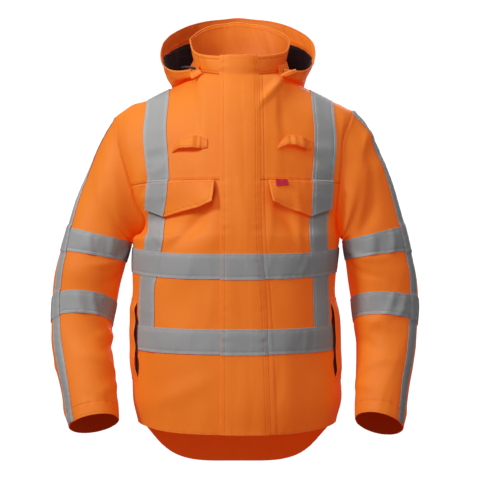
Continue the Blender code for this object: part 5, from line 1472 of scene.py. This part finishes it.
def makeSleeves():
    count = len(armholeAngles)
    for name, side in sides.items():
        surface = sleeveSurfaces[side]
        group, tapeGroup = "sleeveStitches" + name, "tapeStitches" + name
        # the head's seam allowance lies inside the body
        head = surface["points"][:1]
        toward = unit(head.mean(axis=1, keepdims=True) - head)
        inward = np.array([-side, 0, 0.25])
        inside = [head + toward * deep + inward * reach for deep, reach in sleeves["seamAllowance"]]
        normals, shade = [join([surface[each][:1]] * 2 + [surface[each]]) for each in ("normals", "shade")]
        # painted shade over the sleeve's inside
        makeCloth("sleeve" + name, join([*inside, surface["points"]]), normals, sleeves["thickness"], "shell",
                  ring=True, shade=shade, inside=sleeves["insideShade"])
        lastRow = surface["rows"][-1]
        for row, up in ((lastRow, -3.0), (lastRow, -24.0), (0, 6.0)):
            sewOn(group, surface, row, np.linspace(0, count, 500), up=up)
        for across in (-3.0, 3.0):
            sewOn(group, surface, np.linspace(0.6, lastRow - 0.1, 500), count / 2, across=across)
        for band, (first, last) in sleeves["bands"].items():
            columns = np.linspace(0, count, 132, endpoint=False)
            points, normals = onCloth(surface, mix(first, last, tapeLines)[:, None], columns[None])
            along, deep = arcs(points, 1), arcs(points, 0)
            toEdge = fromEdges(deep, 0)
            height = 1.3 + tapeProfile(toEdge, along) + foldHeight(along, deep, sleeves["bandFolds"][band])
            outer = layTape("band" + band + name, points, normals, np.maximum(height, 1.25), toEdge,
                            ring=True)
            sewRows(tapeGroup, outer, normals, [(row, row, 0, len(columns)) for row in (6, 22)], count=400, ring=True)
        # narrow tape down the outside
        rows = np.linspace(0.06, lastRow - 0.02, 300)
        columns = mix(*sleeves["stripeColumns"][side], np.array(sleeves["stripeLines"]) / sleeves["stripeWidth"])
        points, normals = onCloth(surface, rows[:, None], columns[None])
        over = sum(smoothStep((rows - first + 0.14) / 0.12) * smoothStep((last + 0.14 - rows) / 0.12)
                   for first, last in sleeves["bands"].values())
        toEdge, inset = fromEdges(arcs(points, 1), 1), sleeves["stripeStitch"]
        height = 1.6 + 0.3 * smoothStep(toEdge / 8) - 0.35 * hump(toEdge - inset, 0.9)
        height = height + pucker(arcs(points, 0), toEdge - inset, 0.22, 5) + 1.9 * over[:, None]
        outer = layTape("stripe" + name, points, normals, height, toEdge, inset)
        sewRows(tapeGroup, outer, normals, [(0, 299, place, place) for place in (4, 12)])


makeSleeves()
print("sleeves made")


# hood folded back behind the collar, and its dark lining

hood = {
    "thickness": 2.0, "steps": 24, "shift": 2, "rest": 3, "seamGap": 0.7, "seamRow": 1,
    "sections": [
        # bearing, inner, floor from, floor to, outer and rim: out and z of each
        (54, 101, -5, 104, -9, 109, -10, 112, -4, 114, 4), (70, 107, -7, 114, -13, 124, -14, 131, -7, 136, 3),
        (88, 107, -8, 116, -18, 129, -19, 141, 1, 152, 24), (108, 110, -4, 120, -22, 138, -22, 151, 16, 161, 68),
        (132, 122, -14, 134, -56, 158, -56, 168, -4, 166, 104),
        (156, 130, -40, 142, -108, 172, -108, 184, -36, 174, 128),
        (180, 134, -50, 146, -128, 178, -126, 190, -46, 178, 138),
    ],
    "seams": (-34, 34),  # degrees round from the back middle
    "runs": [0.0, 0.5, 1.0, 1.5, 2.0, 2.5, 3.0, 3.5, 4.0, 4.5, 5.0],
    "liningSeams": (52, 128), "liningTop": [(54, 4.8), (88, 4.72), (108, 4.55), (132, 4.7), (180, 4.8)],
    "eyelet": (38, 22), "liningGap": 0.8, "liningThickness": 1.0,
    "folds": [
        # degrees round from the back middle times 3, mm below the rim
        (-300, 60, -210, 10, 8, 14, 3.5, 0), (-190, 130, -150, 10, 10, 18, -3.5, 0),
        (-110, 190, -95, 20, 8, 20, 3.5, 0), (40, 200, 55, 30, -8, 22, -3.0, 0),
        (140, 160, 170, 20, -8, 18, 3.5, 0), (230, 110, 260, 10, -8, 14, -3.0, 0),
        (300, 70, 330, 10, 5, 12, 3.0, 0), (-40, 170, 10, 150, 6, 16, 3.0, 0),
    ],
}


hoodTurn = 180 - hood["sections"][0][0]  # degrees from the back middle to a front end
hoodSeamColumns = [(0.5 + seam / hoodTurn / 2) * hood["steps"] for seam in hood["seams"]]


def collarSeam(bearing, side):  # out and z of the seam that joins the hood to the collar
    line = coarseCollar[hood["seamRow"]]
    line = line + unit(line * (1, 1, 0)) * hood["seamGap"]
    near = line[side * line[:, 0] >= 0]
    near = near[np.argsort(bearingOf(near))]
    x, y, z = near.T
    return [float(np.interp(bearing, bearingOf(near), values)) for values in (np.hypot(x, y), z)]


def shoulderHeight(x, y):  # height of the shoulders and upper back under a place
    side = 1 if x > 0 else -1
    path = []
    for face, rows in ((front, range(yokeRow, topRow)), (back, range(topRow, yokeRow, -1))):
        half = [columnAt(face, side * number) for number in range(sideColumn + 1)]
        for row in rows:
            points = coarseBody[face][row, half]
            path.append([np.interp(abs(x), side * points[:, 0], points[:, axis]) for axis in (1, 2)])
    return float(np.interp(y, [place[0] for place in path], [place[1] for place in path], -1000, -1000))


def makeHoodSurface():
    half = hood["steps"] // 2
    bearings = list(np.linspace(hood["sections"][0][0], 180, half + 1))
    bearings += bearings[-2::-1]
    runs = np.array(hood["runs"])
    columns = []
    for number, bearing in enumerate(bearings):
        side = -1 if number <= half else 1
        nodes = [(0, *collarSeam(bearing, side))]
        for node in range(1, 6):
            nodes.append((node, float(readTable(hood["sections"], bearing, 2 * node - 1)),
                          float(readTable(hood["sections"], bearing, 2 * node))))
        out, z = readTable(nodes, runs, 1), readTable(nodes, runs, 2)
        angle = radians(bearing)
        x = side * out * sin(angle) + hood["shift"] * np.minimum(runs, 1)
        y = -out * cos(angle)
        z = [z[0]] + [max(z[n], shoulderHeight(x[n], y[n]) + hood["rest"]) for n in range(1, len(runs))]
        columns.append(np.stack([x, y, z], axis=-1))
    lastRow = len(runs) - 1
    surface = fineSurface(np.array(columns).transpose(1, 0, 2), gridLines(lastRow, 5, [(lastRow - 0.35, 0.35, 19)]),
                          gridLines(hood["steps"], 5, [(column, 0.3, 9) for column in hoodSeamColumns]))
    measure(surface, np.zeros(3))
    if surface["normals"][-1, len(surface["columns"]) // 2, 1] < 0:
        surface["normals"] = -surface["normals"]
    up, across = surface["up"], surface["across"]
    toRim = up[-1:] - up
    turn = (surface["columns"] / surface["columns"][-1] - 0.5) * 2 * hoodTurn
    u = np.broadcast_to(turn[None] * 3, toRim.shape)
    calm = smoothStep(up / 40) * smoothStep((across[:, -1:] - across) / 25 + 0.1) * smoothStep(across / 25 + 0.1)
    push = (foldHeight(u, toRim, hood["folds"]) + unevenness(across, up, 9.3)) * calm
    # the turned hem round the face opening is gathered a little by its cord
    gather = np.sin(across / 7.5 + 2 * np.sin(across / 47)) + 0.6 * np.sin(across / 4.3 + 1)
    push += 0.7 * gather * hump(toRim - 15, 10) + 0.8 * hump(toRim - 3, 3)
    push += seamDip(toRim - 27, 0.9, 1.6) + pucker(across, toRim - 27, 0.8, 9)
    # painted shade along the hem's stitches and the hood's seams
    shade = paintedShading(toRim - 27) + 0.5 * paintedShading(toRim - 3)
    for seam in hood["seams"]:
        away = (turn[None] - seam) * 2.6
        run = smoothStep(up / 30)
        push += (seamDip(away, 1.1, 1.6) + pucker(up, away, 0.45, 8)) * run
        shade += (seamPaintedShade(away, 1.4) + 0.6 * paintedShading(np.abs(away) - 3.5)) * run
    surface["shade"] = np.clip(shade, 0, 1)
    return pushOut(surface, push, surface["normals"])


hoodSurface = makeHoodSurface()


def makeHood():
    surface, steps = hoodSurface, hood["steps"]
    # painted shade over the inside, darker toward the wearer's right
    deep = 1.3 - 1.0 * smoothStep((surface["points"][..., 0] + 130) / 190)
    makeCloth("hoodShell", surface["points"], surface["normals"], hood["thickness"], "shell",
              shade=surface["shade"], inside=deep)
    lastRow, wide = surface["rows"][-1], np.linspace(0.1, steps - 0.1, 700)
    for up in (-3.0, -27.0):
        sewOn("hoodStitches", surface, lastRow, wide, up=up)
        sewInside("hoodStitches", surface, lastRow, wide, hood["thickness"], up)
    for column in hoodSeamColumns:
        for across in (-3.5, 3.5):
            sewOn("hoodStitches", surface, np.linspace(2.5, lastRow - 0.1, 160), column, across=across)
    # lining over the inside, up to its own edge
    columns = np.linspace(0.6, steps - 0.6, 181)
    bearings = mix(hood["sections"][0][0], 180, 1 - np.abs(columns - steps / 2) / (steps / 2))
    top = readTable(hood["liningTop"], bearings, 1) * 2
    points, normals = onCloth(surface, mix(1.0, top[None], np.linspace(0, 1, 61)[:, None]), columns[None])
    up, across = arcs(points, 0), arcs(points, 1)
    wave = 0.6 * unevenness(across * 1.3, up * 1.3, 11.5) + pucker(across, up[-1:] - up, 0.7, 12)
    left, right = hood["liningSeams"]
    seamAway = np.minimum(np.abs(columns - columns[left]), np.abs(columns - columns[right])) * 24
    wave -= 0.7 * hump(seamAway, 2.5)[None]
    inside = points - normals * (hood["thickness"] + hood["liningGap"] + 0.4 + np.abs(wave))[..., None]
    makeCloth("hoodLining", inside, -normals, hood["liningThickness"], "lining",
              shade=0.8 * hump(seamAway[None] - 4, 2))
    beside = left - 1.2, right + 1.2
    sewRows("liningStitches", inside, -normals,
            [(57.5, 57.5, 1, 179), (59.3, 59.3, 1, 179)] + [(10, 57, place, place) for place in beside])
    # round of sewing that holds the cord's eyelet, near the front end on the wearer's right
    row, column = hood["eyelet"]
    turns = np.linspace(0, 2 * pi, 60)
    rate = (up[row, column] - up[row - 1, column], across[row, column] - across[row, column - 1])
    for radius in (11.0, 2.2):
        spots = row + radius * np.sin(turns) / rate[0], column + radius * np.cos(turns) / rate[1]
        sewLine("liningStitches", readGrid(inside, *spots), unit(readGrid(-normals, *spots)), 3.4)


makeHood()
print("hood made")


# small pieces: pocket welts, hood tabs and the cord's free end

welts = {
    "thickness": 2.0, "free": -70, "sewn": -3,  # y of its free and its sewn edge
    "rows": [
        # z, stand right, stand left, stand at the sewn edge
        (-606, 2.0, 2.0, 0.6), (-584, 3.5, 3.2, 0.6), (-560, 5.5, 3.8, 1.9), (-538, 4.0, 3.2, 1.9),
        (-512, 5.5, 4.2, 1.9), (-488, 3.4, 4.6, 1.9), (-466, 4.5, 3.0, 0.6), (-444, 2.0, 2.0, 0.6),
    ],
}


def sidePlaces(side, y, z):  # points of the front's cloth near the side seam
    surface = bodySurfaces[front]
    half = np.flatnonzero(side * (sideColumn - surface["columns"]) >= braceMid)[::-side]
    grid = surface["points"][:lineAt(surface, "rows", armpitRow) + 1, half]
    return np.stack([placesOn(grid[..., 1], grid, 0, y, z), y, z], axis=-1)


def makeWelts():
    low, high, thickness = welts["rows"][0][0], welts["rows"][-1][0], welts["thickness"]
    for name, side in sides.items():
        z, depth = spread(np.linspace(low, high, 61), np.linspace(welts["free"], welts["sewn"], 21))
        toEdge, toEnd = depth - welts["free"], np.minimum(z - low, high - z)
        free = 1 - toEdge / (welts["sewn"] - welts["free"])
        stand = mix(readTable(welts["rows"], z, 3), readSide(welts["rows"], z, side), free)
        normals = directions(sidePlaces, side, depth, z, 3.0, 0.0) * side
        stand = stand + 0.7 * np.sin(z / 9.5 + side) * free - 0.6 * hump(toEdge - 8, 1.4)
        height = mix(1.0, stand + thickness + 0.6, smoothStep(toEnd / 26))
        outer = sidePlaces(side, depth, z) + normals * height[..., None]
        # painted shade along its stitches
        makeCloth("sideWelt" + name, outer, normals, np.minimum(thickness, height - 0.3), "shell",
                  shade=0.7 * paintedShading(toEdge - 8) + 0.6 * paintedShading(toEnd - 3))
        sewRows("seamStitchesFront", outer, normals, [(1, 59, place, place) for place in (0.8, 2.6)], count=120)
        sewRows("seamStitchesFront", outer, normals, [(row, row, 1, 19) for row in (1.2, 58.8)], count=40)


pocketBag = {  # the dark pocket cloth along the welt's free edge; a dark sheet that also stands in for the slit's shadow, as painted shadow
    "thickness": 0.8, "under": 9.0,
    "shown": [(-602, -4), (-594, 3), (-585, 5.5), (-566, 6), (-556, 1.5), (-545, 5), (-520, 6.5), (-487, 5.5),
              (-477, 1.5), (-456, 1.0), (-448, -4)],
}


def makePocketBagsAndShadows():
    ends, edge = (pocketBag["shown"][0][0], pocketBag["shown"][-1][0]), welts["free"]
    for name, side in sides.items():
        z, share = spread(np.linspace(*ends, 61), np.linspace(0, 1, 9))
        depth = mix(edge - readTable(pocketBag["shown"], z, 1), edge + pocketBag["under"], share)
        normals = directions(sidePlaces, side, depth, z, 3.0) * side
        overTape = smoothStep((z + 556) / 8) * smoothStep((-490 - z) / 8)
        outer = sidePlaces(side, depth, z) + normals * (1.2 + 1.9 * overTape)[..., None]
        makeCloth("pocketBag" + name, outer, normals, pocketBag["thickness"], "lining")


tabs = {
    "thickness": 2.6,
    "rows": {
        # upper edge, lower edge
        "Right": ([(-92, -70.5, -3), (-82, -67, 5), (-72, -70, 3)],
                  [(-88, -83, -15), (-79, -82, -10), (-70, -81, -4)]),
        "Left": ([(87, -79, -6), (101, -70, 1), (115, -57.5, 6)],
                 [(88, -84, -11), (103, -77, -7), (118, -61.5, 0)]),
    },
}


def makeTabs():
    for name, (upper, lower) in tabs["rows"].items():
        upper, lower = np.array(upper, float), np.array(lower, float)
        coarse = np.array([lower, (lower + upper) / 2 + (0, -1.5, 0), upper])
        surface = measure(fineSurface(coarse, gridLines(2, 8), gridLines(2, 10)), np.array([0, -1, 0]))
        up, across = surface["up"], surface["across"]
        toEdge = np.minimum(fromEdges(up, 0), fromEdges(across, 1))
        swell = 0.6 * smoothStep(toEdge / 5) - 0.4 * hump(toEdge - 2.5, 0.8)
        points = surface["points"] + surface["normals"] * swell[..., None]
        makeCloth("hoodTab" + name, points, surface["normals"], tabs["thickness"], "shell",
                  wearAndHighlightReach=2)
        sewRows("hoodStitches", points, surface["normals"], [(12, 12, 1, points.shape[1] - 2)], pitch=3.6, count=30)


cordEnd = {"diameter": 4.8, "sides": 20,
           # out of the hem of the hood, past the tab, to its cut end
           "route": [(-108, -56.5, 8.5), (-104, -61, 9.0), (-98.5, -66.5, 8.6), (-92, -70.2, 7.6), (-83, -71.5, 5.6),
                     (-80, -71.8, 4.8)]}


def makeCordEnd():
    route, n = np.array(cordEnd["route"], float), cordEnd["sides"]
    keys = pathLength(route)
    path = splineShares(keys, np.linspace(0, keys[-1], 49)) @ route
    along = pathLength(path)
    ahead = unit(np.gradient(path, axis=0))
    sideways = unit(np.cross(ahead, np.array([0, 0, 1.0])))
    above = np.cross(sideways, ahead)
    turns = np.arange(n) * 2 * pi / n
    # plaited surface, then a rounded melted tip
    plait = 0.16 * sum(np.abs(np.sin(2 * turns[None] + way * along[:, None] / 1.15)) for way in (1, -1))
    tip = np.clip((along[-1] - along) / 2.0, 0, 1)
    radius = (cordEnd["diameter"] / 2 - 0.25 + plait) * (np.sqrt(1 - (1 - tip) ** 2)[:, None] * 0.97 + 0.03)
    points = (path[:, None] + radius[..., None] * (np.cos(turns)[None, :, None] * sideways[:, None]
                                                   + np.sin(turns)[None, :, None] * above[:, None]))
    faces = tubeFaces(len(path), n)
    flow = np.array([[(along[f // n + (k > 1)], (f % n + (k in (1, 2))) * 0.75) for k in range(4)]
                     for f in range(len(faces))])
    piece = meshObject("cordEndRight", points.reshape(-1, 3), np.array(faces), flow, np.zeros(len(path) * n), "cord")
    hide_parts("cord_end_right")


makeWelts()
makePocketBagsAndShadows()
makeTabs()
makeCordEnd()
finishSewing()
print("small pieces and sewing made")

for name, (width, length, area) in cuts.items():
    print("cut", name, width, "x", length, "m, area", area)
